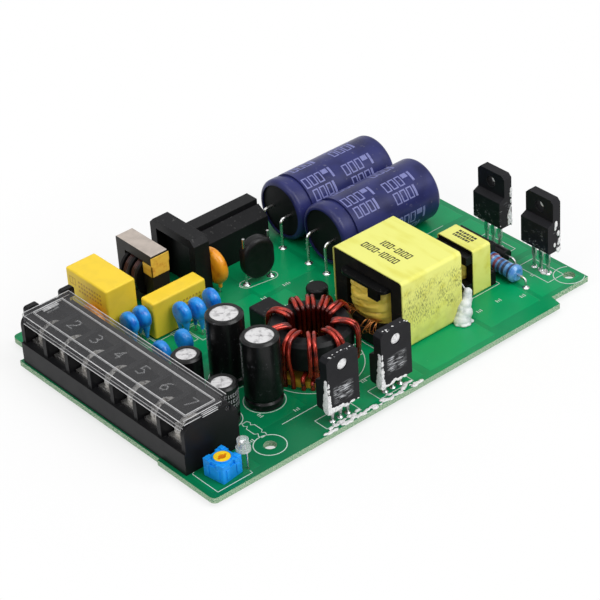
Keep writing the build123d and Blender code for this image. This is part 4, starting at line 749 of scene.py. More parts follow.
class Shop(Enum):
    """The finishes on this object."""

    BOARD = BoardLacquer("board_lacquer")
    SILK = Print("white_print", srgb(206, 218, 212), srgb(120, 178, 152))
    BLACK = Moulded("black_moulding", srgb(23, 23, 25), 0.4, dust=0.1)
    BOBBIN = Moulded("black_bobbin", srgb(19, 19, 20), 0.34, dust=0.15)
    CASE = Case("transistor_case")
    YELLOW_BOX = Moulded("yellow_case", srgb(252, 216, 62), 0.4, 0.5, 0.008, 0.3, 0.1, 0.02, 0.25, 0.06)
    BLUE_BOX = Moulded("blue_case", srgb(20, 152, 244), 0.36, 0.5, 0.01, 0.12, 0.12, 0.04, 0.3)
    ROTOR = Moulded("rotor_yellow", srgb(252, 212, 40), 0.36, 0.4, 0.01, 0.08, 0.1, 0.0, 0.3)
    SLOT = Moulded("rotor_slot", srgb(206, 116, 18), 0.5, 0.4, 0.01, 0.05, 0.1, 0.0)
    BASE = Moulded("toroid_base_yellow", srgb(214, 178, 56), 0.45, 0.5, 0.01, 0.2, 0.1, 0.1)
    RUBBER = Moulded("bung_rubber", srgb(18, 19, 21), 0.55, 0.5, 0.02, 0.3, 0.2, 0.15)
    BLUE_DIP = Dipped("blue_lacquer", srgb(34, 152, 240), srgb(14, 104, 204))
    ORANGE_DIP = Dipped("orange_lacquer", srgb(246, 160, 32), srgb(220, 124, 16))
    BLACK_DIP = Dipped("black_lacquer", srgb(20, 20, 21), srgb(12, 12, 13), 0.42, 0.1, 0.2)
    DRUM = Moulded("drum_case", srgb(20, 20, 21), 0.32, 0.4, 0.01, 0.2, 0.2, 0.12)
    STEEL = Metal("plated_steel", srgb(228, 226, 222), srgb(160, 152, 140), 0.3)
    SCREW = Plated("screw_steel")
    TIN = Metal("tinned_wire", srgb(206, 206, 206), srgb(140, 138, 130), 0.25, (1.0, 1.0, 0.2), 0.3)
    SOLDER = Metal("solder", srgb(214, 216, 218), srgb(130, 130, 126), 0.22, (1.0, 1.0, 1.0), 0.6, 0.05)
    # Its last values place painted shade on the wire inside the ring core's hole.
    RED_WIRE = Enamel("red_enamel", srgb(178, 50, 32), srgb(84, 16, 14), 0.6, 0.2, (53.7, 25.9, 6.3))
    BROWN_WIRE = Enamel("brown_enamel", srgb(74, 34, 28), srgb(38, 17, 16), 0.35, 0.34)
    BARE_COPPER = Enamel("strand_copper", srgb(214, 138, 66), srgb(120, 62, 28), 0.7, 0.3)
    MAIN_TAPE = Tape("main_tape", srgb(240, 240, 128), srgb(226, 222, 92), 13.05)
    COIL_TAPE = Tape("coil_tape", srgb(255, 226, 100), srgb(238, 196, 56), crease_mm=1.8)
    CHOKE_TAPE = Tape("choke_tape", srgb(240, 196, 78), srgb(206, 140, 50), crease_mm=1.5)
    DARK_CORE = Ferrite("dark_ferrite", srgb(18, 18, 18), srgb(56, 52, 44))
    RING_CORE = Ferrite("ring_core", srgb(18, 19, 20), srgb(52, 56, 56), 0.36)
    # Choke core: pale ferrite, painted dark as shade below its top face.
    PALE_CORE = PaleFerriteShadedBelowTop("pale_ferrite", srgb(30, 28, 26), srgb(70, 66, 60), 0.5)
    NAVY = Sleeve("navy_sleeve", srgb(44, 48, 104), srgb(30, 33, 78), 0.15)
    CAN_SLEEVE = Sleeve("black_sleeve", srgb(17, 17, 18), srgb(10, 10, 11), 0.12, 0.3)
    LILAC_PRINT = Print("sleeve_print", srgb(124, 128, 182), srgb(80, 84, 142))
    GREY_PRINT = Print("can_print", srgb(170, 170, 174), srgb(80, 80, 86))
    DARK_PRINT = Print("label_print", srgb(52, 50, 24), srgb(110, 106, 46))
    FILM_PRINT = Print("film_print", srgb(206, 158, 50), srgb(232, 196, 70))
    CAN_TOP = CanTop("can_top")
    RESISTOR = Banded("resistor_bands")
    COVER = Clear("clear_cover", (0.15, 0.15, 0.155), 0.2, 0.5, 0.1, 0.0, 0.0)
    LENS = Clear("clear_lens", (0.86, 0.89, 0.9), 0.3, 0.65, 0.1, 0.3)
    NUMBER = Clear("clear_numbers", (0.8, 0.81, 0.82), 0.07, 0.5, 0.2, 0.2)
    # Pale beads along the cover's edges, a painted highlight.
    EDGE_GLINT = Clear("clear_edge_glints", (0.93, 0.93, 0.94), 0.55, 0.45, 0.25, 0.1)
    GLUE = Paste("white_glue", srgb(226, 230, 230), srgb(192, 198, 200), 1.6, 0.36)
    PASTE = Paste("thermal_paste", srgb(236, 236, 236), srgb(196, 198, 200), 0.5, 0.5)

    def get(self) -> bpy.types.Material:
        """The material of this finish."""
        return self.value.material()


# Meshes


@dataclass
class BoardPlace:
    """Turns millimetres on the board into the shared frame."""

    corner: Vector = field(default_factory=Vector)

    def read(self) -> None:
        """Takes the board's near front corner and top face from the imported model."""
        low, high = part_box("circuit_board")
        self.corner = Vector((low.x, low.y, high.z))

    def at(self, x: float, y: float, z: float) -> Vector:
        """Point in the frame from millimetres on the board."""
        return self.corner + Vector((x, y, z)) / 1000

    def back(self, point: Vector) -> Vector:
        """Millimetres on the board from a point in the frame."""
        return (point - self.corner) * 1000


BOARD = BoardPlace()
UP = Vector((0.0, 0.0, 1.0))
INK_SINK = 0.02  # how far a print reaches into the face under it, in millimetres
INK_RISE = 0.03  # how far it stands above that face


@dataclass
class Solid:
    """Box of one separate solid of a node, in millimetres on the board."""

    low: Vector
    high: Vector

    @property
    def centre(self) -> Vector:
        """Middle of the box."""
        return (self.low + self.high) / 2


def solids(node: str) -> list[Solid]:
    """Boxes of the separate solids in one node, in order along X and then Y.

    Args:
        node: Name of the node.

    Returns:
        One box for each solid.
    """
    mesh = bpy.data.objects[node].data
    keys: dict[tuple[int, int, int], int] = {}
    alias = []
    for vertex in mesh.vertices:
        key = tuple(round(c * 2e6) for c in vertex.co)
        alias.append(keys.setdefault(key, len(keys)))
    parent = list(range(len(keys)))

    def root(i: int) -> int:
        while parent[i] != i:
            parent[i] = parent[parent[i]]
            i = parent[i]
        return i

    for edge in mesh.edges:
        a, b = (root(alias[v]) for v in edge.vertices)
        parent[a] = b
    groups: dict[int, list[Vector]] = {}
    for vertex in mesh.vertices:
        groups.setdefault(root(alias[vertex.index]), []).append(BOARD.back(vertex.co))
    found = []
    for points in groups.values():
        low = Vector([min(p[i] for p in points) for i in range(3)])
        high = Vector([max(p[i] for p in points) for i in range(3)])
        found.append(Solid(low, high))
    return sorted(found, key=lambda s: (round(s.centre.x, 1), round(s.centre.y, 1)))


def whole(node: str) -> Solid:
    """One box round all the solids of a node."""
    parts = solids(node)
    low = Vector([min(p.low[i] for p in parts) for i in range(3)])
    high = Vector([max(p.high[i] for p in parts) for i in range(3)])
    return Solid(low, high)


class Sketch:
    """Collects vertices and faces, in millimetres on the board, for one new piece."""

    def __init__(self) -> None:
        self.points: list[Vector] = []
        self.faces: list[tuple[int, ...]] = []

    def add(self, points: Iterable[Vector], faces: Iterable[Sequence[int]]) -> None:
        """Adds one closed or open patch."""
        start = len(self.points)
        self.points.extend(Vector(p) for p in points)
        self.faces.extend(tuple(start + i for i in face) for face in faces)

    def rings(self, rings: list[list[Vector]], cap: bool = True) -> None:
        """Joins closed rings of equal count into one skin.

        Args:
            rings: Rings of points from one end to the other.
            cap: Whether both ends are closed.
        """
        count = len(rings[0])
        points = [p for ring in rings for p in ring]
        faces: list[Sequence[int]] = []
        for r in range(len(rings) - 1):
            for i in range(count):
                j = (i + 1) % count
                a, b = r * count, (r + 1) * count
                faces.append((a + i, a + j, b + j, b + i))
        if cap:
            faces.append(tuple(reversed(range(count))))
            last = (len(rings) - 1) * count
            faces.append(tuple(last + i for i in range(count)))
        self.add(points, faces)

    def tube(self, path: list[Vector], radius: float, sides: int = 10) -> None:
        """Round wire along a path.

        Args:
            path: Points along its middle.
            radius: Radius of the wire.
            sides: Corners of its section.
        """
        frame = Vector((0.3, 0.2, 1.0))
        rings = []
        for i, point in enumerate(path):
            ahead = path[min(i + 1, len(path) - 1)] - path[max(i - 1, 0)]
            ahead.normalize()
            frame = frame - ahead * frame.dot(ahead)
            if frame.length < 1e-4:
                frame = ahead.orthogonal()
            frame.normalize()
            other = ahead.cross(frame)
            ring = []
            for k in range(sides):
                angle = math.tau * k / sides
                ring.append(point + (frame * math.cos(angle) + other * math.sin(angle)) * radius)
            rings.append(ring)
        self.rings(rings)

    def turned(
        self,
        origin: Vector,
        axis: Vector,
        profile: Sequence[tuple[float, float]],
        steps: int = 32,
    ) -> None:
        """Skin turned about an axis.

        Args:
            origin: Point on the axis.
            axis: Direction of the axis.
            profile: Radius and distance along the axis of each ring.
            steps: Corners of a ring.
        """
        turn = axis.normalized().to_track_quat("Z", "Y").to_matrix()
        rings = []
        for radius, along in profile:
            ring = []
            for k in range(steps):
                angle = math.tau * k / steps
                local = Vector((radius * math.cos(angle), radius * math.sin(angle), along))
                ring.append(origin + turn @ local)
            rings.append(ring)
        self.rings(rings)

    def slab(self, low: Point, high: Point) -> None:
        """Box between two corners."""
        xs, ys, zs = zip(low, high)
        bottom = [Vector((xs[i], ys[j], zs[0])) for i, j in ((0, 0), (1, 0), (1, 1), (0, 1))]
        top = [Vector((p.x, p.y, zs[1])) for p in bottom]
        self.rings([bottom, top])

    def ribbon(
        self,
        path: list[tuple[float, float]],
        width: float,
        closed: bool = False,
        height: float = INK_RISE,
    ) -> None:
        """Flat printed line on the board's top.

        Args:
            path: Points in X and Y.
            width: Width of the line.
            closed: Whether it returns to its start.
            height: Thickness of the ink.
        """
        count = len(path)
        rings = []
        for i in range(count):
            before = path[(i - 1) % count] if closed or i > 0 else path[i]
            after = path[(i + 1) % count] if closed or i < count - 1 else path[i]
            ahead = Vector((after[0] - before[0], after[1] - before[1], 0.0)).normalized()
            aside = Vector((-ahead.y, ahead.x, 0.0)) * (width / 2)
            middle = Vector((path[i][0], path[i][1], 0.0))
            rise = Vector((0.0, 0.0, height))
            rings.append([middle - aside, middle + aside, middle + aside + rise, middle - aside + rise])
        if closed:
            rings.append(rings[0])
        self.rings(rings, cap=not closed)

    def ring_line(
        self,
        x: float,
        y: float,
        radius: float,
        width: float = 0.22,
        start: float = 0.0,
        sweep: float = 360.0,
    ) -> None:
        """Printed circle or arc on the board's top.

        Args:
            x: Place of its middle along the board.
            y: Place of its middle across the board.
            radius: Radius of the line's middle.
            width: Width of the line.
            start: Angle at which an arc starts, in degrees.
            sweep: Angle that it covers, 360 for a circle.
        """
        steps = max(8, int(sweep / 7.5))
        whole = sweep >= 359.9
        angles = [math.radians(start + sweep * i / steps) for i in range(steps + (0 if whole else 1))]
        self.ribbon([(x + radius * math.cos(a), y + radius * math.sin(a)) for a in angles], width, whole)

    def frame_line(self, x0: float, y0: float, x1: float, y1: float, width: float = 0.22) -> None:
        """Printed rectangle on the board's top."""
        corners = [(x0, y0), (x1, y0), (x1, y1), (x0, y1)]
        for i, corner in enumerate(corners):
            self.ribbon([corner, corners[(i + 1) % 4]], width)

    def build(
        self, name: str, finish: Shop, body: str = ROOT, slot: str = "", smooth: float = 40.0
    ) -> bpy.types.Object:
        """Makes the piece.

        Args:
            name: Name of the piece.
            finish: Its finish.
            body: Body that it rides on.
            slot: Not used.
            smooth: Largest angle in degrees across which it is shaded smooth.

        Returns:
            The new object.
        """
        mesh = bpy.data.meshes.new(name)
        mesh.from_pydata([tuple(BOARD.at(*p)) for p in self.points], [], self.faces)
        return finish_piece(mesh, name, finish, body, smooth)


def finish_piece(
    mesh: bpy.types.Mesh, name: str, finish: Shop, body: str, smooth: float
) -> bpy.types.Object:
    """Turns a mesh into a piece that rides on a body.

    Args:
        mesh: Mesh in metres of the shared frame.
        name: Name of the piece.
        finish: Its finish.
        body: Body that it rides on.
        smooth: Largest angle in degrees across which it is shaded smooth.

    Returns:
        The new object.
    """
    work = bmesh.new()
    work.from_mesh(mesh)
    bmesh.ops.recalc_face_normals(work, faces=work.faces)
    for face in work.faces:
        face.smooth = True
    for edge in work.edges:
        if len(edge.link_faces) == 2 and edge.calc_face_angle(0.0) > math.radians(smooth):
            edge.smooth = False
    work.to_mesh(mesh)
    work.free()
    mesh.materials.clear()
    mesh.materials.append(finish.get())
    piece = bpy.data.objects.new(name, mesh)
    bpy.context.scene.collection.objects.link(piece)
    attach(piece, body)
    LOG.info("%s: %d faces", name, len(mesh.polygons))
    return piece


def curve_through(points: Sequence[Vector], steps: int = 8, closed: bool = False) -> list[Vector]:
    """Smooth path through a few points.

    Args:
        points: Points that it passes.
        steps: Points added for each span.
        closed: Whether it returns to its start.

    Returns:
        Points along the path.
    """
    count = len(points)
    spans = count if closed else count - 1
    path = []
    for i in range(spans):
        a = points[(i - 1) % count] if closed or i > 0 else points[0]
        b, c = points[i], points[(i + 1) % count]
        d = points[(i + 2) % count] if closed or i + 2 < count else points[-1]
        for k in range(steps):
            t = k / steps
            slope, bend, twist = c - a, 2 * a - 5 * b + 4 * c - d, 3 * b - a - 3 * c + d
            path.append(0.5 * (2 * b + slope * t + bend * t**2 + twist * t**3))
    if not closed:
        path.append(points[-1].copy())
    return path


def remeshed(sketch: Sketch, voxel_mm: float, smooth_rounds: int) -> bpy.types.Mesh:
    """Melts overlapping closed patches into one soft skin.

    Args:
        sketch: Patches that overlap.
        voxel_mm: Size of the grid that they are melted on.
        smooth_rounds: Rounds of smoothing.

    Returns:
        The new mesh in metres of the shared frame.
    """
    rough = bpy.data.meshes.new("rough")
    rough.from_pydata([tuple(BOARD.at(*p)) for p in sketch.points], [], sketch.faces)
    work = bmesh.new()
    work.from_mesh(rough)
    bmesh.ops.recalc_face_normals(work, faces=work.faces)
    work.to_mesh(rough)
    work.free()
    holder = bpy.data.objects.new("melt", rough)
    bpy.context.scene.collection.objects.link(holder)
    melt = holder.modifiers.new("melt", "REMESH")
    melt.mode = "VOXEL"
    melt.voxel_size = voxel_mm / 1000
    soften = holder.modifiers.new("soften", "SMOOTH")
    soften.factor = 0.5
    soften.iterations = smooth_rounds
    graph = bpy.context.evaluated_depsgraph_get()
    result = bpy.data.meshes.new_from_object(holder.evaluated_get(graph))
    bpy.data.objects.remove(holder)
    return result


def ball(sketch: Sketch, centre: Vector, radius: Vector, steps: int = 14) -> None:
    """Adds an ellipsoid to a sketch.

    Args:
        sketch: Sketch that takes it.
        centre: Its middle.
        radius: Its radius along each axis.
        steps: Steps from pole to pole.
    """
    rings = []
    for i in range(1, steps):
        angle = math.pi * i / steps
        wide, up = math.sin(angle), math.cos(angle)
        ring = []
        for k in range(steps * 2):
            turn = math.tau * k / (steps * 2)
            offset = Vector((wide * math.cos(turn), wide * math.sin(turn), up))
            ring.append(centre + Vector([offset[j] * radius[j] for j in range(3)]))
        rings.append(ring)
    sketch.rings(rings)


# Sub-assemblies


@dataclass
class ToroidWinding:
    """Two enamelled wires wound side by side through the ring core, in loose arcs."""

    wire_radius: float = 0.6
    inner_reach: float = 0.66
    bulge: float = 0.55
    fan_mm: float = 0.68
    lead_spread: float = 1.2
    inner_radius: float = 6.3
    outer_angles: tuple[float, ...] = (-128.4, -91.4, -52.4, -0.4, 26.6, 49.6, 71.6, 111.6, 163.6, 198.6)
    inner_angles: tuple[float, ...] = (-128.4, -91.4, -52.4, -8.0, 20.0, 47.5, 75.0, 111.6, 163.6, 198.6)
    lead_angle: float = 8.0

    def build(self) -> None:
        """Builds both wires in place of the plain ones."""
        core = solids("toroid_core")[0]
        sketch = Sketch()
        chance = random.Random(5)
        for side in (-1, 1):
            sketch.tube(curve_through(self.path(core, side, chance), 6), self.wire_radius, 12)
        piece = sketch.build("toroid_wires", Shop.RED_WIRE, slot="copper_wire", smooth=80)
        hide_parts("toroid_winding")

    def path(self, core: Solid, side: int, chance: random.Random) -> list[Vector]:
        """Points that one wire passes.

        Args:
            core: Box of the ring core.
            side: Which of the two wires, -1 or 1.
            chance: Source of the small differences between turns.

        Returns:
            Points in millimetres on the board.
        """
        outer = core.high.x - core.centre.x
        far = outer + self.inner_reach
        near = self.inner_radius - self.inner_reach
        layer = (2 * self.wire_radius + 0.06) * (1 + side) / 2
        low = core.low.z - self.inner_reach - layer
        high = core.high.z + self.inner_reach

        def at(radius: float, angle: float, z: float) -> Vector:
            turn = math.radians(angle)
            x = core.centre.x + radius * math.cos(turn)
            return Vector((x, core.centre.y + radius * math.sin(turn), z))

        def fan(radius: float) -> float:
            return side * math.degrees(math.atan2(self.fan_mm, radius))

        lead = side * math.degrees(math.atan2(self.lead_spread, far))
        first = self.outer_angles[0] - self.lead_angle + lead
        last = self.outer_angles[-1] + lead
        points = [at(far, first, -1.6), at(far, first, 1.2), at(far, first, low - 0.4)]
        middle = (outer + self.inner_radius) / 2
        for i, (inside, outside) in enumerate(zip(self.inner_angles, self.outer_angles)):
            bulge = self.bulge * chance.uniform(0.7, 1.5)
            rise = chance.uniform(0.35, 0.75)
            inner, out = inside + fan(near), outside + fan(far)
            between = (inside + outside) / 2 + fan(middle)
            points += [
                at(near + 0.5, inner, low + 0.02),
                at(near - 0.02, inner, low + 0.9),
                at(near - 0.1, inner, (low + high) / 2),
                at(near - 0.02, inner, high - 0.8),
                at(near + 0.8, inner, high + rise * 0.45),
                at(middle, between, high + rise),
                at(far - 1.1, out, high + rise * 0.35),
                at(far + bulge * 0.35, out, high - 1.2),
                at(far + bulge, out, (low + high) / 2 + 0.6),
            ]
            if i < len(self.outer_angles) - 1:
                points += [at(far + bulge * 0.4, out, low + 1.2), at(far - 0.9, out, low)]
        points += [at(far + 0.2, last, low + 1.0), at(far, last, 1.2), at(far, last, -1.6)]
        return points


@dataclass
class DippedDiscs:
    """Lacquered discs with the coat run down onto their leads, melted into teardrops."""

    voxel_mm: float = 0.16

    def build(self) -> None:
        """Builds the blue discs, the varistor and the orange disc."""
        blue = Sketch()
        chance = random.Random(11)
        for solid in solids("disc_capacitors"):
            self.teardrop(blue, solid, 3.2, 1.5, chance)
        self.finish(blue, "blue_discs", Shop.BLUE_DIP, "disc_capacitors", "blue_coating")
        singles = (("varistor", "varistor_drop", 5.0), ("orange_disc", "orange_drop", 5.4))
        for node, name, radius in singles:
            drop = Sketch()
            solid = solids(node)[0]
            self.teardrop(drop, solid, radius, (solid.high.x - solid.low.x) / 2, chance)
            self.finish(drop, name, Shop.ORANGE_DIP, node, "orange_coating")

    def teardrop(
        self, sketch: Sketch, solid: Solid, radius: float, half: float, chance: random.Random
    ) -> None:
        """Adds one disc with two necks.

        Args:
            sketch: Sketch that takes it.
            solid: Box of the plain disc.
            radius: Radius of the disc.
            half: Half its thickness.
            chance: Source of small differences.
        """
        middle = Vector((solid.centre.x, solid.centre.y, solid.high.z - radius))
        profile = []
        steps = 12
        for i in range(steps + 1):
            angle = math.pi * i / steps
            thick = -math.cos(angle)
            bend = math.copysign(abs(thick) ** 0.8, thick)
            profile.append((max(0.02, radius * math.sin(angle) ** 0.42), half * bend))
        lean = Vector((1.0, chance.uniform(-0.03, 0.03), chance.uniform(-0.03, 0.03)))
        sketch.turned(middle, lean, profile, 40)
        reach = radius * 0.46
        for side in (-1, 1):
            foot = Vector((middle.x, middle.y + side * reach, solid.low.z))
            drop = middle.z - solid.low.z
            neck = [(0.42, 0.0), (0.5, 0.25), (0.62, drop * 0.25), (1.0, drop * 0.5), (1.35, drop)]
            thin = min(1.0, half / 1.4)
            sketch.turned(foot, UP, [(r * thin, z) for r, z in neck], 20)

    def finish(self, sketch: Sketch, name: str, finish: Shop, node: str, slot: str) -> None:
        """Melts the drops and puts them in place of a node."""
        mesh = remeshed(sketch, self.voxel_mm, 6)
        piece = finish_piece(mesh, name, finish, ROOT, 180)
        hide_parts(node)


@dataclass
class CrepeWinding:
    """Coil wrapped in crepe tape, with folds where it bulges out of the core."""

    node: str
    name: str
    finish: Shop
    core: str
    corner: float
    fold_mm: float
    folds: int
    seed: int
    slot: str = "yellow_tape"

    def build(self) -> None:
        """Builds the folded skin in place of the plain coil."""
        coil = solids(self.node)[0]
        core = solids(self.core)[0]
        half_x = (coil.high.x - coil.low.x) / 2
        half_y = (coil.high.y - coil.low.y) / 2
        free_x = (core.high.x - core.low.x) / 2
        levels = 34
        steps = 120
        rings = []
        height = coil.high.z - coil.low.z
        for level in range(levels + 1):
            share = level / levels
            z = coil.low.z + height * share
            ring = []
            for k in range(steps):
                angle = math.tau * k / steps
                plan = self.plan(angle, half_x, half_y)
                outside = min(1.0, max(0.0, (abs(plan.x) - free_x + 1.2) / 2.0))
                place = Vector((plan.x * 0.35, plan.y * 0.35, z * 0.9 + self.seed))
                wander = noise.noise(place) * 0.5
                fold = abs(math.sin(math.pi * (share * self.folds + wander + plan.y * 0.06)))
                ends = min(1.0, 5 * share, 5 * (1 - share))
                crown = math.sin(math.pi * share) ** 0.5
                lump = noise.noise(Vector((plan.x * 0.3, plan.y * 0.3, z * 0.3 - self.seed)))
                push = outside * (crown * 0.8 + (fold**0.7 - 0.8) * 0.8 + lump * 0.4) * self.fold_mm * ends
                push -= (1 - ends) * 0.25
                outward = plan.normalized()
                ring.append(Vector((coil.centre.x, coil.centre.y, z)) + plan + outward * push)
            rings.append(ring)
        sketch = Sketch()
        sketch.rings(rings)
        piece = sketch.build(self.name, self.finish, slot=self.slot, smooth=50)
        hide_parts(self.node)

    def plan(self, angle: float, half_x: float, half_y: float) -> Vector:
        """Point of the rounded outline at an angle, seen from above."""
        power = 4.0 if self.corner < 3 else 3.0
        c, s = math.cos(angle), math.sin(angle)
        length = (abs(c / half_x) ** power + abs(s / half_y) ** power) ** (-1 / power)
        return Vector((c * length, s * length, 0.0))


@dataclass
class ChokeWindings:
    """Dark wires wound round the two spools of the common-mode choke."""

    wire_radius: float = 0.28
    tube_radius: float = 4.1

    def build(self) -> None:
        """Builds both windings turn by turn."""
        for place in ("near", "left"):
            node = f"choke_winding_{place}"
            coil = solids(node)[0]
            outer = (coil.high.z - coil.low.z) / 2 - self.wire_radius
            inner = self.tube_radius + self.wire_radius
            sketch = Sketch()
            for radius in (outer, (outer + inner) / 2):
                sketch.tube(self.helix(coil, radius), self.wire_radius * 1.04, 8)
            turns = f"choke_turns_{place}"
            piece = sketch.build(turns, Shop.BROWN_WIRE, slot="brown_wire", smooth=80)
            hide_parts(node)

    def helix(self, coil: Solid, radius: float) -> list[Vector]:
        """Turns about the spool's axis, from one flange to the other."""
        length = coil.high.y - coil.low.y - 2 * self.wire_radius
        turns = max(2, round(length / (2 * self.wire_radius)))
        steps = turns * 28
        path = []
        for i in range(steps + 1):
            angle = math.tau * turns * i / steps
            y = coil.low.y + self.wire_radius + length * i / steps
            x = coil.centre.x + radius * math.cos(angle)
            path.append(Vector((x, y, coil.centre.z + radius * math.sin(angle))))
        return path


@dataclass
class GlueHeap:
    """White glue heaped against the main transformer, with a thin drawn thread."""

    voxel_mm: float = 0.16

    def build(self) -> None:
        """Builds the heap and its thread in place of the plain one."""
        solid = solids("glue_blob")[0]
        face = whole("transformer_tape").high.x
        chance = random.Random(3)
        sketch = Sketch()
        foot = Vector((93.6, 12.0, 0.6))
        top = Vector((min(96.6, solid.high.x - 1.0), 13.4, solid.high.z - 1.2))
        for i in range(8):
            share = i / 7
            centre = foot.lerp(top, share)
            radius = 2.5 - 1.3 * share
            offset = Vector((chance.uniform(-0.35, 0.35), chance.uniform(-0.35, 0.35), 0.0))
            ball(sketch, centre + offset, Vector((radius, radius * 0.95, radius * 0.8 + 0.3)), 10)
        for _ in range(5):
            angle = chance.uniform(0, math.tau)
            out = Vector((foot.x + 2.1 * math.cos(angle), foot.y + 2.1 * math.sin(angle), 0.35))
            ball(sketch, out, Vector((0.9, 0.8, 0.45)), 8)
        thread = [
            top,
            Vector((face + 1.6, 16.4, 10.6)),
            Vector((face + 0.7, 19.0, 13.2)),
            Vector((face + 0.35, 21.0, 15.4)),
        ]
        sketch.tube(curve_through(thread, 6), 0.24, 8)
        mesh = remeshed(sketch, self.voxel_mm, 3)
        piece = finish_piece(mesh, "glue_heap", Shop.GLUE, ROOT, 180)
        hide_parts("glue_blob")


@dataclass
class ThermalPaste:
    """White paste smeared on the transistors and along the board's near edge."""

    voxel_mm: float = 0.15

    def build(self) -> None:
        """Builds the smears of each place as one soft skin."""
        chance = random.Random(21)
        near = Sketch()
        for node, spread in (("transistor_1", 1.0), ("transistor_2", 0.9)):
            self.near_face(near, solids(node)[0], spread, chance)
        self.edge(near, 34.0, 68.0, chance)
        self.melt(near, "paste_near")
        far = Sketch()
        for node in ("transistor_3", "transistor_4"):
            self.far_side(far, solids(node)[0], chance)
        self.melt(far, "paste_far")

    def melt(self, sketch: Sketch, name: str) -> None:
        """Melts the smears and finishes them."""
        finish_piece(remeshed(sketch, self.voxel_mm, 2), name, Shop.PASTE, ROOT, 180)

    def near_face(self, sketch: Sketch, case: Solid, spread: float, chance: random.Random) -> None:
        """Smears round one transistor near the edge.

        Args:
            sketch: Sketch that takes them.
            case: Box of the transistor's case.
            spread: How much paste there is, 1 for plenty.
            chance: Seeded source of scatter.
        """
        tall = case.high.z - case.low.z
        y = case.low.y
        for i in range(60):
            z = case.low.z + (i / 60) * 0.62 * tall
            size = chance.uniform(0.25, 0.8) * (1.3 - 0.9 * i / 60)
            place = Vector((case.low.x + 0.1, y + 0.5 + size * 0.8, z))
            ball(sketch, place, Vector((0.35, size + 0.3, size * 1.2)), 8)
            if chance.random() < 0.45:
                ball(sketch, Vector((case.low.x + 0.3, y, z)), Vector((size * 0.9, 0.16, size)), 8)
        for _ in range(int(34 * spread)):
            x = case.low.x + abs(chance.gauss(0.0, 0.45)) * (case.high.x - case.low.x)
            if x > case.high.x:
                continue
            z = case.low.z + abs(chance.gauss(0.0, 0.5)) - 0.2
            size = chance.uniform(0.3, 0.75)
            ball(sketch, Vector((x, y + 0.1, z)), Vector((size * 1.3, 0.3, size * 0.6)), 8)
        for _ in range(int(26 * spread)):
            size = chance.uniform(0.25, 0.8)
            foot = Vector((chance.uniform(case.low.x, case.high.x), chance.uniform(0.4, 2.4), 0.1))
            ball(sketch, foot, Vector((size * 1.3, size * 0.7, size * 0.45)), 8)
        for _ in range(16):
            z = case.low.z + chance.uniform(0.05, 0.7) * tall
            size = chance.uniform(0.1, 0.24)
            ball(sketch, Vector((case.high.x - 0.1, y + 0.1, z)), Vector((size, 0.14, size * 2.0)), 6)
        for _ in range(14):
            x = case.low.x + chance.uniform(0.1, 1.0) * (case.high.x - case.low.x)
            size = chance.uniform(0.1, 0.26)
            place = Vector((x, y + chance.uniform(0.1, 1.2), case.high.z))
            ball(sketch, place, Vector((size * 1.4, size, 0.12)), 6)
        hole = Vector(((case.low.x + case.high.x) / 2, y + 0.5, case.high.z - 3.1))
        ball(sketch, hole, Vector((1.8, 0.45, 1.8)), 16)

    def far_side(self, sketch: Sketch, case: Solid, chance: random.Random) -> None:
        """Smears on the sides, in the hole and at the foot of a transistor at the far edge.

        Args:
            sketch: Sketch that takes them.
            case: Box of the transistor's case.
            chance: Seeded source of scatter.
        """
        hole = Vector((case.high.x - 1.3, case.centre.y, case.high.z - 3.1))
        ball(sketch, hole, Vector((0.3, 1.1, 1.1)), 14)
        for _ in range(16):
            z = case.low.z + abs(chance.gauss(0.0, 4.0))
            if z > case.high.z - 1.5:
                continue
            x = case.high.x - abs(chance.gauss(0.0, 1.0))
            size = chance.uniform(0.3, 0.85)
            ball(sketch, Vector((x, case.low.y, z)), Vector((size * 0.7, 0.2, size * 1.3)), 8)
        for _ in range(14):
            y = case.low.y + chance.uniform(0.0, 1.0) * (case.high.y - case.low.y)
            z = case.low.z + abs(chance.gauss(0.0, 1.3))
            size = chance.uniform(0.3, 0.7)
            ball(sketch, Vector((case.low.x + 0.3, y, z)), Vector((0.3, size, size * 0.7)), 8)
        for _ in range(8):
            y = case.low.y + chance.uniform(0.1, 0.9) * (case.high.y - case.low.y)
            size = chance.uniform(0.3, 0.8)
            x = case.high.x - 2.2 + chance.uniform(-0.9, 0.9)
            ball(sketch, Vector((x, y, 0.15)), Vector((size, size * 1.2, 0.4)), 8)

    def edge(self, sketch: Sketch, start: float, end: float, chance: random.Random) -> None:
        """Lumps along the near edge of the board."""
        for _ in range(70):
            x = chance.uniform(start, end)
            y = abs(chance.gauss(0.15, 0.5)) + 0.05
            size = chance.uniform(0.2, 0.75)
            ball(sketch, Vector((x, y, 0.08)), Vector((size * 1.4, size * 0.8, size * 0.4)), 8)


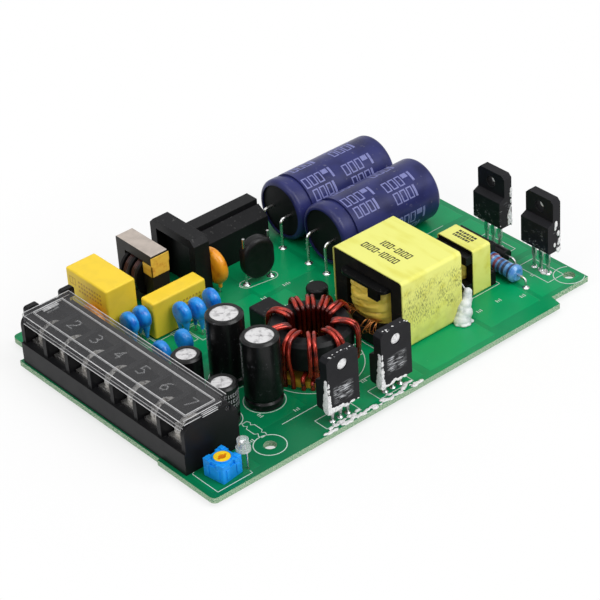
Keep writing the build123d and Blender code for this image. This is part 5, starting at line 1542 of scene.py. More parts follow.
@dataclass
class Silkscreen:
    """White print on the board: outlines of the parts, rings and small marks."""

    def build(self) -> None:
        """Builds all lines as one thin piece."""
        ink = Sketch()
        self.outlines(ink)
        self.mountings(ink)
        self.lines(ink)
        for x, y, count, across in self.marks():
            self.mark(ink, x, y, count, across)
        ink.build("board_print", Shop.SILK, smooth=30)

    @staticmethod
    def outlines(ink: Sketch) -> None:
        """Rings and frames round the parts that stand on the board."""
        for name in ("tall_can_near", "tall_can_left", "small_can_near", "small_can_left"):
            can = solids(name)[0]
            ink.ring_line(can.centre.x, can.centre.y, (can.high.x - can.low.x) / 2 + 0.75)
        toroid = solids("toroid_base")[0]
        ink.ring_line(toroid.centre.x, toroid.centre.y, 13.4)
        drum = solids("drum")[0]
        ink.ring_line(drum.centre.x, drum.centre.y, 3.6)
        for name in (
            "flat_film_capacitor",
            "film_box",
            "choke_feet",
            "transformer_bobbin",
            "pulse_bobbin",
        ):
            low, high = whole(name).low, whole(name).high
            ink.frame_line(low.x - 0.7, low.y - 0.7, high.x + 0.7, high.y + 0.7)
        for name in ("bulk_capacitor_near", "bulk_capacitor_left"):
            can = solids(name)[0]
            y = can.low.y + 0.3
            ink.ribbon([(can.low.x + 1.0, y), (can.high.x + 0.4, y)], 0.2)

    @staticmethod
    def mountings(ink: Sketch) -> None:
        """Rings round the two screw holes and frames round the transistors."""
        ink.ring_line(23.5, 7.05, 4.2, 0.26)
        ink.ring_line(128.9, 7.85, 4.2, 0.26, 50.0, 260.0)
        for name in ("transistor_1", "transistor_2"):
            case = solids(name)[0]
            ink.frame_line(case.low.x - 0.6, 2.0, case.high.x + 0.6, case.high.y + 0.6)
        for name in ("transistor_3", "transistor_4"):
            case = solids(name)[0]
            ink.frame_line(case.low.x - 0.6, case.low.y - 0.6, case.high.x + 0.6, case.high.y + 0.6)

    def lines(self, ink: Sketch) -> None:
        """Single lines, the outlines of parts lying down and the frames of the discs."""
        ink.ribbon([(31.0, 11.4), (66.9, 11.4)], 0.24)
        ink.ribbon([(2.6, 1.6), (2.6, 11.4), (3.6, 12.0)], 0.2)
        ink.ribbon([(2.6, 1.6), (13.4, 1.6), (13.4, 2.6)], 0.2)
        self.bone(ink, 24.8, 10.8, 18.6)
        feet = [(wire.centre.x, wire.centre.y) for wire in solids("thermistor_wires")]
        self.pill(ink, feet[0], feet[-1], 1.9)
        for solid in solids("disc_capacitors"):
            low, high = solid.low, solid.high
            ink.frame_line(low.x - 0.3, low.y - 0.4, high.x + 0.3, high.y + 0.4, 0.18)

    @staticmethod
    def bone(ink: Sketch, x: float, low: float, high: float) -> None:
        """Outline of a part with two end caps, lying along Y.

        Args:
            ink: Sketch that takes the line.
            x: Place of its axis.
            low: Its near end.
            high: Its far end.
        """
        half = [(0.8, 0.0), (1.1, 1.0), (0.5, 1.8), (1.3, 2.4)]
        right = [(x + side, low + along) for side, along in half]
        right += [(x + side, high - along) for side, along in reversed(half)]
        left = [(2 * x - px, py) for px, py in reversed(right)]
        ink.ribbon(right + left, 0.24, closed=True)

    @staticmethod
    def pill(ink: Sketch, first: tuple[float, float], last: tuple[float, float], radius: float) -> None:
        """Outline with round ends about two feet.

        Args:
            ink: Sketch that takes the line.
            first: Place of one foot.
            last: Place of the other foot.
            radius: Distance from the feet.
        """
        heading = math.atan2(last[1] - first[1], last[0] - first[0])
        points = []
        for (x, y), start in ((first, heading + math.pi / 2), (last, heading - math.pi / 2)):
            for k in range(9):
                angle = start + math.pi * k / 8
                points.append((x + radius * math.cos(angle), y + radius * math.sin(angle)))
        ink.ribbon(points, 0.22, closed=True)

    @staticmethod
    def marks() -> list[tuple[float, float, int, bool]]:
        """Place, number of strokes and direction of each small mark."""
        return [
            (20.5, 11.0, 3, False),
            (12.0, 9.6, 2, False),
            (37.0, 13.0, 3, False),
            (25.5, 30.8, 2, True),
            (29.0, 17.5, 3, True),
            (42.5, 41.5, 3, False),
            (57.0, 10.2, 3, False),
            (68.5, 12.5, 3, True),
            (64.5, 20.0, 2, True),
            (51.5, 54.5, 4, False),
            (59.0, 52.6, 4, False),
            (66.0, 50.5, 3, False),
            (73.5, 47.5, 4, False),
            (78.5, 44.5, 4, False),
            (63.5, 57.5, 3, False),
            (72.0, 58.5, 4, False),
            (78.0, 54.0, 3, True),
            (99.5, 12.0, 3, False),
            (106.5, 12.0, 3, False),
            (112.5, 9.0, 3, False),
            (121.5, 14.5, 2, True),
            (102.0, 38.0, 4, False),
            (112.0, 40.0, 4, False),
            (124.5, 42.5, 3, False),
            (63.0, 66.5, 2, True),
            (60.5, 87.5, 3, False),
        ]

    @staticmethod
    def mark(ink: Sketch, x: float, y: float, count: int, across: bool) -> None:
        """Row of short plain bars.

        Args:
            ink: Sketch that takes them.
            x: Place of the first bar along the board.
            y: Place of the first bar across the board.
            count: Number of bars.
            across: Whether they lie along X and follow each other along Y.
        """
        for i in range(count):
            shift = 0.62 * i
            tall = 1.15 if i % 2 == 0 else 0.85
            if across:
                ink.ribbon([(x, y + shift), (x + tall, y + shift)], 0.24)
            else:
                ink.ribbon([(x + shift, y), (x + shift, y + tall)], 0.24)


@dataclass
class SolderTops:
    """Bright solder that has wetted the leads on the board's top side."""

    def build(self) -> None:
        """Builds a small cone round each lead that stands free."""
        sketch = Sketch()
        for node, radius, height in (
            ("bulk_wires", 1.15, 0.9),
            ("thermistor_wires", 1.2, 0.8),
            ("axial_wires", 1.0, 0.7),
            ("transistor_legs", 0.85, 0.8),
        ):
            for solid in solids(node):
                x, y = self.foot(node, solid)
                self.cone(sketch, x, y, radius, height)
        sketch.build("solder_tops", Shop.SOLDER, slot="solder", smooth=80)

    @staticmethod
    def foot(node: str, solid: Solid) -> tuple[float, float]:
        """Where a lead goes into the board."""
        radius = 0.35
        if node == "bulk_wires":
            return solid.low.x + 0.45, solid.centre.y
        if node == "axial_wires":
            near = solid.centre.y < (20.2 if solid.centre.x < 119 else 27.9)
            return solid.centre.x, (solid.low.y + radius) if near else (solid.high.y - radius)
        return solid.centre.x, solid.centre.y

    @staticmethod
    def cone(sketch: Sketch, x: float, y: float, radius: float, height: float) -> None:
        """Hollow-sided cone of solder."""
        profile = [
            (radius, 0.0),
            (radius * 0.98, 0.07),
            (radius * 0.72, 0.2),
            (radius * 0.5, 0.45 * height),
            (radius * 0.42, 0.75 * height),
            (radius * 0.36, height),
        ]
        sketch.turned(Vector((x, y, 0.0)), UP, profile, 24)


@dataclass
class SleevePrint:
    """Pale print on the two large capacitors: groups of plain rings and bars."""

    radius: float = 9.0
    tall: float = 3.4
    wide: float = 1.9
    stroke: float = 0.36
    gap: float = 0.45

    def build(self) -> None:
        """Builds the print of both capacitors."""
        sketch = Sketch()
        for node, turn in (("bulk_capacitor_near", 0.0), ("bulk_capacitor_left", 14.0)):
            can = solids(node)[0]
            for column in range(3):
                for around in range(5):
                    angle = 22.0 + 72.0 * around + 10.0 * column + turn
                    start = can.low.x + 5.6 + 13.4 * column
                    self.row(sketch, can, start, angle, (1, 1, 1, 2, 3))
                    self.row(sketch, can, start + 1.0, angle + 27.0, (1, 1, 1, 3))
        sketch.build("sleeve_print", Shop.LILAC_PRINT, smooth=60)

    def row(self, sketch: Sketch, can: Solid, start: float, angle: float, kinds: Sequence[int]) -> None:
        """One row of shapes along the can.

        Args:
            sketch: Sketch that takes it.
            can: Box of the can.
            start: Where the row starts along the board.
            angle: Angle of the row about the can's axis, in degrees.
            kinds: 1 for a ring, 2 for a low block and 3 for a bar.
        """
        sweep = math.degrees(self.tall / self.radius)
        line = math.degrees(self.stroke / self.radius)
        x = start
        for kind in kinds:
            if x + self.wide > can.high.x - 2.0:
                break
            if kind == 1:
                self.patch(sketch, can, x, x + self.stroke, angle, sweep)
                self.patch(sketch, can, x + self.wide - self.stroke, x + self.wide, angle, sweep)
                self.patch(sketch, can, x, x + self.wide, angle, line)
                self.patch(sketch, can, x, x + self.wide, angle + sweep - line, line)
            elif kind == 2:
                self.patch(sketch, can, x, x + self.wide, angle, 0.45 * sweep)
            else:
                self.patch(sketch, can, x, x + 2 * self.stroke, angle, sweep)
            x += self.wide + self.gap

    def patch(
        self, sketch: Sketch, can: Solid, x0: float, x1: float, angle: float, sweep: float
    ) -> None:
        """Thin curved patch of ink on the side of a can.

        Args:
            sketch: Sketch that takes it.
            can: Box of the can.
            x0: Start of the patch along the board.
            x1: End of the patch along the board.
            angle: Start about the can's axis, in degrees.
            sweep: Angle that it covers.
        """
        steps = 4
        low, high = self.radius - INK_SINK, self.radius + INK_RISE
        rings = []
        for i in range(steps + 1):
            turn = math.radians(angle + sweep * i / steps)
            ring = []
            for x, radius in ((x0, low), (x1, low), (x1, high), (x0, high)):
                y = can.centre.y + radius * math.cos(turn)
                z = can.centre.z + radius * math.sin(turn)
                ring.append(Vector((x, y, z)))
            rings.append(ring)
        sketch.rings(rings)


@dataclass
class TapePrint:
    """Dark print on top of the main transformer: rings and bars in two rows."""

    tall: float = 2.3
    stroke: float = 0.34

    def build(self) -> None:
        """Builds the shapes on the tape's top face."""
        tape = whole("transformer_tape")
        sketch = Sketch()
        rows = ((5.0, 5.2, (1, 3, 1, 1, 2, 3, 1, 3, 1, 1)), (8.9, 8.4, (3, 1, 1, 2, 1, 3, 1, 1)))
        for offset, inset, kinds in rows:
            y = tape.high.y - inset
            for kind in kinds:
                y -= self.shape(sketch, tape.low.x + offset, y, kind, tape.high.z) + 0.38
        small = whole("pulse_tape")
        low, high = small.high.z - INK_SINK, small.high.z + INK_RISE
        for row in range(3):
            x = small.low.x + 2.2 + 1.15 * row
            y = small.high.y - 3.4
            for i in range(7):
                wide = 0.85 if (i + row) % 3 else 0.45
                sketch.slab((x, y - wide, low), (x + 0.8, y, high))
                y -= wide + 0.22
        sketch.build("tape_print", Shop.DARK_PRINT, smooth=30)

    def shape(self, sketch: Sketch, x: float, y: float, kind: int, top: float) -> float:
        """One shape of a row.

        Args:
            sketch: Sketch that takes it.
            x: Foot of the row.
            y: Start of the shape.
            kind: 1 for a ring, 2 for a short dash and 3 for a bar.
            top: Height of the tape's top face.

        Returns:
            Width of the shape.
        """
        low, high, line = top - INK_SINK, top + INK_RISE, self.stroke
        if kind == 1:
            sketch.slab((x, y - line, low), (x + self.tall, y, high))
            sketch.slab((x, y - 1.25, low), (x + self.tall, y - 1.25 + line, high))
            sketch.slab((x, y - 1.25, low), (x + line, y, high))
            sketch.slab((x + self.tall - line, y - 1.25, low), (x + self.tall, y, high))
            return 1.25
        if kind == 2:
            sketch.slab((x + 0.9, y - 0.9, low), (x + 0.9 + line, y, high))
            return 0.9
        sketch.slab((x, y - 1.2 * line, low), (x + self.tall, y, high))
        return 1.2 * line


@dataclass
class CoverDigits:
    """Raised terminal numbers 1 to 7 on the clear cover."""

    height: float = 3.4
    width: float = 2.1
    stroke: float = 0.42
    strokes: dict[int, tuple[tuple[float, float], ...]] = field(
        default_factory=lambda: {
            1: ((0.2, 0.75), (0.55, 1.0), (0.55, 0.0)),
            2: (
                *((0.0, 0.78), (0.15, 0.95), (0.5, 1.0), (0.85, 0.94)),
                *((1.0, 0.74), (0.85, 0.5), (0.0, 0.0), (1.0, 0.0)),
            ),
            3: (
                *((0.0, 0.93), (0.5, 1.0), (0.92, 0.8), (0.8, 0.6), (0.4, 0.53)),
                *((0.85, 0.45), (1.0, 0.22), (0.5, 0.0), (0.0, 0.08)),
            ),
            4: ((0.72, 0.0), (0.72, 1.0), (0.0, 0.3), (1.0, 0.3)),
            5: (
                *((0.92, 1.0), (0.1, 1.0), (0.05, 0.55), (0.55, 0.63)),
                *((1.0, 0.36), (0.6, 0.02), (0.0, 0.07)),
            ),
            6: (
                *((0.85, 1.0), (0.3, 0.78), (0.0, 0.32), (0.3, 0.0)),
                *((0.8, 0.04), (1.0, 0.3), (0.7, 0.55), (0.08, 0.42)),
            ),
            7: ((0.0, 1.0), (1.0, 1.0), (0.4, 0.0)),
        }
    )

    def build(self) -> None:
        """Builds the seven numbers above the sunk panel."""
        cover = solids("terminal_cover")[0]
        screws = sorted(solids("terminal_screws"), key=lambda s: -s.centre.y)
        panel = cover.high.z - 0.4
        sketch = Sketch()
        for number, screw in enumerate(screws, start=1):
            points = []
            for across, up in self.strokes[number]:
                x = screw.centre.x - self.height / 2 + up * self.height
                y = screw.centre.y + self.width / 2 - across * self.width
                points.append(Vector((x, y, panel)))
            self.bead(sketch, points)
        sketch.build("cover_numbers", Shop.NUMBER, body="cover", smooth=50)

    def bead(self, sketch: Sketch, points: list[Vector]) -> None:
        """Half-round bead along a path on the panel."""
        half = self.stroke / 2
        for a, b in zip(points, points[1:]):
            ahead = (b - a).normalized()
            aside = Vector((-ahead.y, ahead.x, 0.0)) * half
            rings = []
            for end, push in ((a, -0.1), (b, 0.1)):
                middle = end + ahead * push
                low = middle - UP * 0.03
                right = middle + aside * 0.8 + UP * 0.1
                left = middle - aside * 0.8 + UP * 0.1
                rings.append([low - aside, low + aside, right, middle + UP * 0.16, left])
            sketch.rings(rings)


@dataclass
class CoverEdgeGlints:
    """Painted highlights along the clear cover's long edges: thin pale rounded beads that stand in for
    glints of light there.
    """

    radius: float = 0.12
    shortest: float = 3.5

    def build(self) -> None:
        """Builds a thin pale bead, as a painted highlight, along every long sharp edge of the cover's
        solid.
        """
        mesh = bpy.data.objects["terminal_cover"].data
        facets = Counter(key for polygon in mesh.polygons for key in polygon.edge_keys)
        sketch = Sketch()
        seen: set[tuple[tuple[int, ...], ...]] = set()
        for edge in mesh.edges:
            a, b = (BOARD.back(mesh.vertices[i].co) for i in edge.vertices)
            name = tuple(sorted(tuple(round(c * 20) for c in end) for end in (a, b)))
            if facets[edge.key] != 1 or (b - a).length < self.shortest or name in seen:
                continue
            seen.add(name)
            sketch.tube([a, a.lerp(b, 0.5), b], self.radius, 6)
        LOG.info("cover edges: %d", len(seen))
        sketch.build("cover_edge_glints", Shop.EDGE_GLINT, body="cover", slot="clear_lens", smooth=180)


@dataclass
class Indicator:
    """Metal parts inside the clear indicator light."""

    def build(self) -> None:
        """Builds the cup, the post and the leads' tops."""
        lens = solids("indicator_lens")[0]
        x, y, base = lens.centre.x, lens.centre.y, lens.low.z
        sketch = Sketch()
        cup = [(0.3, 0.3), (0.3, 1.4), (0.75, 2.2), (0.68, 2.2), (0.3, 1.75), (0.05, 1.7)]
        post = [(0.22, 0.3), (0.24, 1.7), (0.1, 1.9)]
        sketch.turned(Vector((x, y + 0.35, base)), UP, cup, 20)
        sketch.turned(Vector((x, y - 0.7, base)), UP, post, 12)
        sketch.build("indicator_inside", Shop.TIN, slot="tinned_wire", smooth=60)


@dataclass
class CanMarks:
    """Small pale strokes in two rows under the shoulder of the upright capacitors."""

    def build(self) -> None:
        """Builds the marks of the four sleeves."""
        sketch = Sketch()
        spots = (
            ("tall_can_near", 112.0, 54.0, 6),
            ("tall_can_left", 112.0, 48.0, 5),
            ("small_can_near", 238.0, 130.0, 3),
            ("small_can_left", 120.0, 76.0, 3),
        )
        for name, start, sweep, rows in spots:
            can = solids(name)[0]
            radius = (can.high.x - can.low.x) / 2 + 0.3
            for row in range(rows):
                top = can.high.z - 1.5 - 1.7 * row
                turn = start
                while turn < start + sweep:
                    wide = 9.0 if int(turn) % 3 else 4.5
                    self.stroke(sketch, can, radius, (turn, wide), (top - 1.05, top))
                    turn += wide + 5.0
        sketch.build("can_marks", Shop.GREY_PRINT, smooth=60)

    @staticmethod
    def stroke(
        sketch: Sketch, can: Solid, radius: float, around: tuple[float, float], level: tuple[float, float]
    ) -> None:
        """Thin curved ring-like stroke of ink on a sleeve.

        Args:
            sketch: Sketch that takes it.
            can: Box of the can.
            radius: Outer radius of the sleeve.
            around: Start and sweep about the can's axis, in degrees.
            level: Lower and upper height of the stroke.
        """
        start, sweep = around
        for z0, z1 in ((level[0], level[0] + 0.22), (level[1] - 0.22, level[1])):
            CanMarks.patch(sketch, can, radius, (start, sweep), (z0, z1))
        CanMarks.patch(sketch, can, radius, (start, 2.6), level)

    @staticmethod
    def patch(
        sketch: Sketch, can: Solid, radius: float, around: tuple[float, float], level: tuple[float, float]
    ) -> None:
        """Thin curved patch of ink, with the same arguments as a stroke."""
        rings = []
        for i in range(4):
            turn = math.radians(around[0] + around[1] * i / 3)
            ring = []
            for out, z in ((-0.02, level[0]), (0.02, level[0]), (0.02, level[1]), (-0.02, level[1])):
                reach = radius + out
                x = can.centre.x + reach * math.cos(turn)
                ring.append(Vector((x, can.centre.y + reach * math.sin(turn), z)))
            rings.append(ring)
        sketch.rings(rings)


@dataclass
class LitzStrands:
    """Thin loose copper strands that leave the main transformer beside its winding."""

    strand_radius: float = 0.09
    strands: int = 3

    def build(self) -> None:
        """Builds the strands of every bundle in the place of its solid."""
        chance = random.Random(8)
        sketch = Sketch()
        for bundle in solids("litz_wires"):
            for _ in range(self.strands):
                sketch.tube(self.path(bundle, chance), self.strand_radius, 6)
        piece = sketch.build("litz_strands", Shop.BARE_COPPER, slot="copper_wire", smooth=180)
        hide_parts("litz_wires")

    @staticmethod
    def path(bundle: Solid, chance: random.Random) -> list[Vector]:
        """Loose arc from the winding down to the bobbin.

        Args:
            bundle: Box of the bundle's solid.
            chance: Seeded source of scatter.

        Returns:
            Points along the strand.
        """
        y = bundle.centre.y + chance.uniform(-0.9, 0.9)
        drift = chance.uniform(-2.2, 2.2)
        out = bundle.low.x - chance.uniform(0.0, 2.6)
        low, high = bundle.low.z, bundle.high.z
        middle = (out + bundle.high.x) / 2
        points = [
            Vector((bundle.high.x + 0.3, y, high - 0.1)),
            Vector((middle, y + drift * 0.3, high + chance.uniform(0.2, 0.9))),
            Vector((out, y + drift * 0.7, (low + high) / 2 + chance.uniform(-0.3, 0.8))),
            Vector((middle, y + drift, low + chance.uniform(-0.2, 0.3))),
            Vector((bundle.high.x + 0.2, y + drift, low)),
        ]
        return curve_through(points, 6)


@dataclass
class ChokeTape:
    """Yellow tape round the near leg of the choke's core, with its free end up over the front."""

    thickness: float = 0.22
    flap_top: float = 17.4

    def build(self) -> None:
        """Builds the four sides of the band, the front one taller."""
        band = solids("choke_tape")[0]
        low, high, wall = band.low, band.high, self.thickness
        sketch = Sketch()
        sketch.slab((low.x, low.y, low.z), (high.x, low.y + wall, self.flap_top))
        sketch.slab((low.x, high.y - wall, low.z), (high.x, high.y, high.z))
        sketch.slab((low.x, low.y, low.z), (low.x + wall, high.y, high.z))
        sketch.slab((high.x - wall, low.y, low.z), (high.x, high.y, high.z))
        piece = sketch.build("choke_tape_wrap", Shop.CHOKE_TAPE, slot="yellow_tape", smooth=40)
        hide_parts("choke_tape")


@dataclass
class FilmMarks:
    """Faint plain frames and bars printed on the film capacitors."""

    line: float = 0.2

    def build(self) -> None:
        """Builds the marks on the outer faces."""
        sketch = Sketch()
        tall = solids("tall_film_capacitor")[0]
        y, z = tall.high.y - 1.6, tall.high.z - 2.2
        inside, outside = tall.low.x - INK_SINK, tall.low.x + INK_RISE
        for y0, y1, z0, z1 in ((0.0, 2.6, 0.0, self.line), (0.0, 2.6, -2.0, self.line - 2.0)):
            sketch.slab((inside, y - y1, z + z0), (outside, y - y0, z + z1))
        for step in (0.0, 1.2, 2.4):
            sketch.slab((inside, y - step - self.line, z - 2.0), (outside, y - step, z + self.line))
        for row in range(3):
            for i in range(9):
                start = y - 3.8 - 1.15 * i
                deep = z - 1.3 * row
                sketch.slab((inside, start - 0.7, deep - 0.6), (outside, start, deep))
        flat = solids("flat_film_capacitor")[0]
        y, z = flat.low.y, flat.high.z - 3.0
        for row in range(4):
            for i in range(8):
                start = flat.high.x - 2.0 - 1.05 * i
                deep = z - 1.25 * row
                sketch.slab((start - 0.6, y - INK_RISE, deep - 0.55), (start, y + INK_SINK, deep))
        sketch.build("film_marks", Shop.FILM_PRINT, smooth=30)


@dataclass
class TrimmerRibs:
    """Moulded ribs, corner posts and collar on the trimmer's body, and the floor of its slot."""

    size: float = 6.8
    turn: float = 8.0
    post: float = 1.5
    post_height: float = 0.35
    rib: float = 1.0
    proud: float = 0.2

    def build(self) -> None:
        """Builds the blue details and the orange slot floor."""
        body = solids("trimmer_body")[0]
        rotor = solids("trimmer_rotor")[0]
        half, low, high = self.size / 2, body.low.z, body.high.z
        sketch = Sketch()
        inner = half - self.post
        for x0, x1 in ((-half + 0.1, -inner), (inner, half - 0.1)):
            for y0, y1 in ((-half + 0.1, -inner), (inner, half - 0.1)):
                self.block(sketch, rotor.centre, (x0, x1), (y0, y1), (high - 0.2, high + self.post_height))
        levels = (low + 0.9, high - 1.2)
        reach = half + self.proud
        for middle in (-1.75, 1.75):
            span = (middle - self.rib / 2, middle + self.rib / 2)
            for side in ((-reach, -half + 0.1), (half - 0.1, reach)):
                self.block(sketch, rotor.centre, side, span, levels)
                self.block(sketch, rotor.centre, span, side, levels)
        radius = (rotor.high.x - rotor.low.x) / 2
        steps = ((0.1, 0.0), (0.12, 0.42), (0.38, 0.42), (0.48, 0.0))
        collar = [(radius + out, along) for out, along in steps]
        sketch.turned(Vector((rotor.centre.x, rotor.centre.y, high - 0.1)), UP, collar, 40)
        sketch.build("trimmer_ribs", Shop.BLUE_BOX, slot="blue_case", smooth=35)
        floor = Sketch()
        disc = [(0.8 * radius, 0.0), (0.8 * radius, 0.15), (0.5 * radius, 0.2), (0.05, 0.2)]
        floor.turned(Vector((rotor.centre.x, rotor.centre.y, rotor.high.z - 0.5)), UP, disc, 32)
        floor.build("rotor_slot_floor", Shop.SLOT, body="rotor", slot="yellow_rotor", smooth=35)

    def block(
        self,
        sketch: Sketch,
        centre: Vector,
        across: tuple[float, float],
        along: tuple[float, float],
        levels: tuple[float, float],
    ) -> None:
        """Block with bevelled upper edges, turned with the body.

        Args:
            sketch: Sketch that takes it.
            centre: Middle of the body.
            across: Start and end on the body's own X.
            along: Start and end on the body's own Y.
            levels: Lower and upper height.
        """
        spin = Matrix.Rotation(math.radians(self.turn), 3, "Z")
        bevel = 0.12
        rings = []
        for inset, z in ((0.0, levels[0]), (0.0, levels[1] - bevel), (bevel, levels[1])):
            ring = []
            for x, y in (
                (across[0] + inset, along[0] + inset),
                (across[1] - inset, along[0] + inset),
                (across[1] - inset, along[1] - inset),
                (across[0] + inset, along[1] - inset),
            ):
                point = spin @ Vector((x, y, 0.0))
                ring.append(Vector((centre.x + point.x, centre.y + point.y, z)))
            rings.append(ring)
        sketch.rings(rings)


@dataclass
class PlainNodes:
    """Solids whose shape is right as packed, each with its finish."""

    finishes: dict[Shop, tuple[str, ...]] = field(
        default_factory=lambda: {
            Shop.BOARD: ("circuit_board",),
            Shop.SOLDER: ("solder_joints",),
            Shop.BLACK: ("terminal_housing", "frame_moulding", "film_box"),
            Shop.BOBBIN: ("choke_bobbin", "choke_feet", "transformer_bobbin", "pulse_bobbin"),
            Shop.STEEL: ("terminal_contacts",),
            Shop.SCREW: ("terminal_clamps", "terminal_screws"),
            Shop.COVER: ("terminal_cover",),
            Shop.BLUE_BOX: ("trimmer_body",),
            Shop.ROTOR: ("trimmer_rotor",),
            Shop.LENS: ("indicator_lens",),
            Shop.TIN: (
                "component_leads",
                "thermistor_wires",
                "bulk_wires",
                "axial_wires",
                "winding_pins",
                "transistor_legs",
            ),
            Shop.YELLOW_BOX: ("flat_film_capacitor", "tall_film_capacitor"),
            Shop.BLUE_DIP: ("disc_capacitors",),
            Shop.ORANGE_DIP: ("varistor", "orange_disc"),
            Shop.BLACK_DIP: ("thermistor", "diode"),
            Shop.PALE_CORE: ("choke_core",),
            Shop.BROWN_WIRE: ("choke_winding_near", "choke_winding_left"),
            Shop.CHOKE_TAPE: ("choke_tape",),
            Shop.NAVY: ("bulk_capacitor_near", "bulk_capacitor_left"),
            Shop.RUBBER: ("bulk_bung_near", "bulk_bung_left"),
            Shop.RING_CORE: ("toroid_core",),
            Shop.BASE: ("toroid_base",),
            Shop.RED_WIRE: ("toroid_winding",),
            Shop.DARK_CORE: ("transformer_core_lower", "transformer_core_upper", "pulse_core"),
            Shop.COIL_TAPE: ("transformer_winding", "pulse_winding"),
            Shop.MAIN_TAPE: ("transformer_tape", "pulse_tape"),
            Shop.BARE_COPPER: ("litz_wires",),
            Shop.RESISTOR: ("resistor",),
            Shop.DRUM: ("drum",),
            Shop.GLUE: ("glue_blob",),
            Shop.CAN_TOP: ("tall_can_near", "tall_can_left", "small_can_near", "small_can_left"),
            Shop.CAN_SLEEVE: ("capacitor_sleeves",),
            Shop.CASE: ("transistor_1", "transistor_2", "transistor_3", "transistor_4"),
        }
    )

    def dress(self, nodes: dict[str, bpy.types.Object]) -> None:
        """Gives every node its finish.

        Args:
            nodes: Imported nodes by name.
        """
        left = set(nodes)
        for finish, names in self.finishes.items():
            for name in names:
                materials = nodes[name].data.materials
                materials.clear()
                materials.append(finish.get())
                left.discard(name)
        LOG.info("dressed %d nodes, left %s", len(nodes) - len(left), sorted(left))


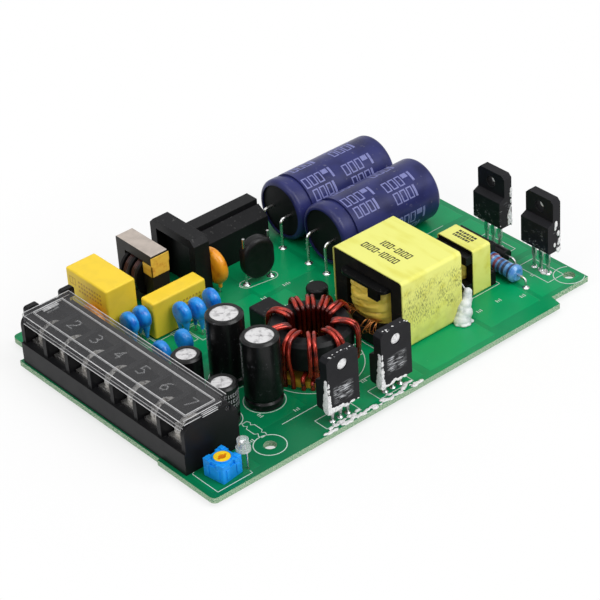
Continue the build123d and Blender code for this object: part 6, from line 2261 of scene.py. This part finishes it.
@dataclass
class Studio:
    """Pale floor, soft lamps, white background and the camera at the photograph's angle."""

    camera_place: Point = (-0.328355, -0.415140, 0.358030)
    right: Point = (0.7577354, -0.6499794, -0.0579991)
    up: Point = (0.3971627, 0.3888262, 0.8313098)
    lens_mm: float = 144.52
    floor_size: float = 6.0
    ambient: float = 0.4

    def build(self) -> None:
        """Builds floor, lamps, world and camera."""
        self.camera()
        self.floor()
        self.world()
        self.lamp("key", (0.3, -0.8, 1.0), (0.8, 0.8), 9.5)
        self.lamp("top", (-0.1, 0.0, 1.3), (1.0, 1.0), 5.0)
        self.lamp("fill", (-0.9, -0.1, 0.6), (0.6, 0.6), 2.2)
        bpy.context.scene.view_settings.view_transform = "Standard"

    def camera(self) -> None:
        """Camera from the fitted place and directions."""
        data = bpy.data.cameras.new("camera")
        data.lens = self.lens_mm
        data.sensor_width = 36.0
        data.clip_start = 0.02
        data.clip_end = 20.0
        camera = bpy.data.objects.new("camera", data)
        right, up = Vector(self.right), Vector(self.up)
        back = right.cross(up)
        turn = Matrix((right, up, back)).transposed().to_4x4()
        camera.matrix_world = Matrix.Translation(self.camera_place) @ turn
        bpy.context.scene.collection.objects.link(camera)
        bpy.context.scene.camera = camera

    def floor(self) -> None:
        """Pale floor that keeps the shadow close to the object and fades to white."""
        graph = Graph("studio_floor")
        cloud = graph.grain(40.0, 2.0)
        tint = graph.mix((0.9, 0.9, 0.9), (0.94, 0.94, 0.94), cloud)
        inputs = {"Base Color": tint, "Roughness": 0.7}
        matt = graph.node("ShaderNodeBsdfPrincipled", {}, inputs, "BSDF")
        glow = graph.node("ShaderNodeEmission", {}, {"Color": (1.0, 1.0, 1.0), "Strength": 1.0})
        seen = self.seen_ray(graph)
        place = {0: graph.position()}
        spot = graph.node("ShaderNodeVectorMath", {"operation": "LENGTH"}, place, "Value")
        share = (spot.ramp(0.05, 0.12) * 0.32 + 0.68) * seen
        graph.blend(matt, glow, share)
        half = self.floor_size / 2
        mesh = bpy.data.meshes.new("studio_floor")
        corners = [(-half, -half, 0), (half, -half, 0), (half, half, 0), (-half, half, 0)]
        mesh.from_pydata(corners, [], [(0, 1, 2, 3)])
        mesh.materials.append(graph.material)
        floor = bpy.data.objects.new("studio_floor", mesh)
        bpy.context.scene.collection.objects.link(floor)

    @staticmethod
    def seen_ray(graph: Graph) -> Signal:
        """1 for rays that show the background: from the camera, mirrored or through clear parts."""
        path = graph.node("ShaderNodeLightPath", {}, {}, "Is Camera Ray")
        outputs = path.socket.node.outputs
        glossy = Signal(graph, outputs["Is Glossy Ray"])
        through = Signal(graph, outputs["Is Transmission Ray"])
        return path.larger(glossy).larger(through)

    def world(self) -> None:
        """White background, with a plain level of light for everything else."""
        world = bpy.data.worlds.new("studio")
        bpy.context.scene.world = world
        world.use_nodes = True
        tree = world.node_tree
        tree.nodes.clear()
        path = tree.nodes.new("ShaderNodeLightPath")
        seen = path.outputs["Is Camera Ray"]
        for kind in ("Is Glossy Ray", "Is Transmission Ray"):
            most = tree.nodes.new("ShaderNodeMath")
            most.operation = "MAXIMUM"
            tree.links.new(seen, most.inputs[0])
            tree.links.new(path.outputs[kind], most.inputs[1])
            seen = most.outputs[0]
        strength = tree.nodes.new("ShaderNodeMapRange")
        strength.inputs["To Min"].default_value = self.ambient
        strength.inputs["To Max"].default_value = 1.0
        tree.links.new(seen, strength.inputs["Value"])
        background = tree.nodes.new("ShaderNodeBackground")
        tree.links.new(strength.outputs[0], background.inputs["Strength"])
        output = tree.nodes.new("ShaderNodeOutputWorld")
        tree.links.new(background.outputs[0], output.inputs[0])

    def lamp(self, name: str, place: Point, size: tuple[float, float], power: float) -> None:
        """One soft lamp that points at the middle of the object.

        Args:
            name: Name of the lamp.
            place: Where it hangs, in metres.
            size: Its width and height in metres.
            power: Its power in watts.
        """
        data = bpy.data.lights.new(name, "AREA")
        data.shape = "RECTANGLE"
        data.size, data.size_y = size
        data.energy = power
        lamp = bpy.data.objects.new(name, data)
        lamp.location = place
        aim = Vector((0.0, 0.0, 0.01)) - Vector(place)
        lamp.rotation_euler = aim.to_track_quat("-Z", "Y").to_euler()
        bpy.context.scene.collection.objects.link(lamp)


class Part(Protocol):
    """Anything that builds its own pieces."""

    def build(self) -> None:
        """Builds the pieces."""


def sub_assemblies() -> list[Part]:
    """All sub-assemblies in the order in which they are built."""
    return [
        ToroidWinding(),
        DippedDiscs(),
        CrepeWinding(
            "transformer_winding",
            "transformer_crepe",
            Shop.COIL_TAPE,
            core="transformer_core_lower",
            corner=6.5,
            fold_mm=0.9,
            folds=4,
            seed=2,
        ),
        CrepeWinding(
            "pulse_winding",
            "pulse_crepe",
            Shop.COIL_TAPE,
            core="pulse_core",
            corner=1.6,
            fold_mm=0.35,
            folds=3,
            seed=9,
        ),
        ChokeWindings(),
        GlueHeap(),
        ThermalPaste(),
        Silkscreen(),
        SolderTops(),
        SleevePrint(),
        TapePrint(),
        CoverDigits(),
        Indicator(),
        CanMarks(),
        LitzStrands(),
        ChokeTape(),
        FilmMarks(),
        TrimmerRibs(),
        CoverEdgeGlints(),
    ]


def corners(bounds: Any) -> list[list[float]]:
    """Two corners as plain lists of numbers."""
    return [[float(c) for c in corner] for corner in bounds]


def main() -> None:
    """Builds the looks in order."""
    logging.basicConfig(level=logging.INFO, format="%(name)s: %(message)s")
    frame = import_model()
    BOARD.read()
    PlainNodes().dress(frame["nodes"])
    for part in sub_assemblies():
        part.build()
    Studio().build()


if __name__ == "__main__":
    main()
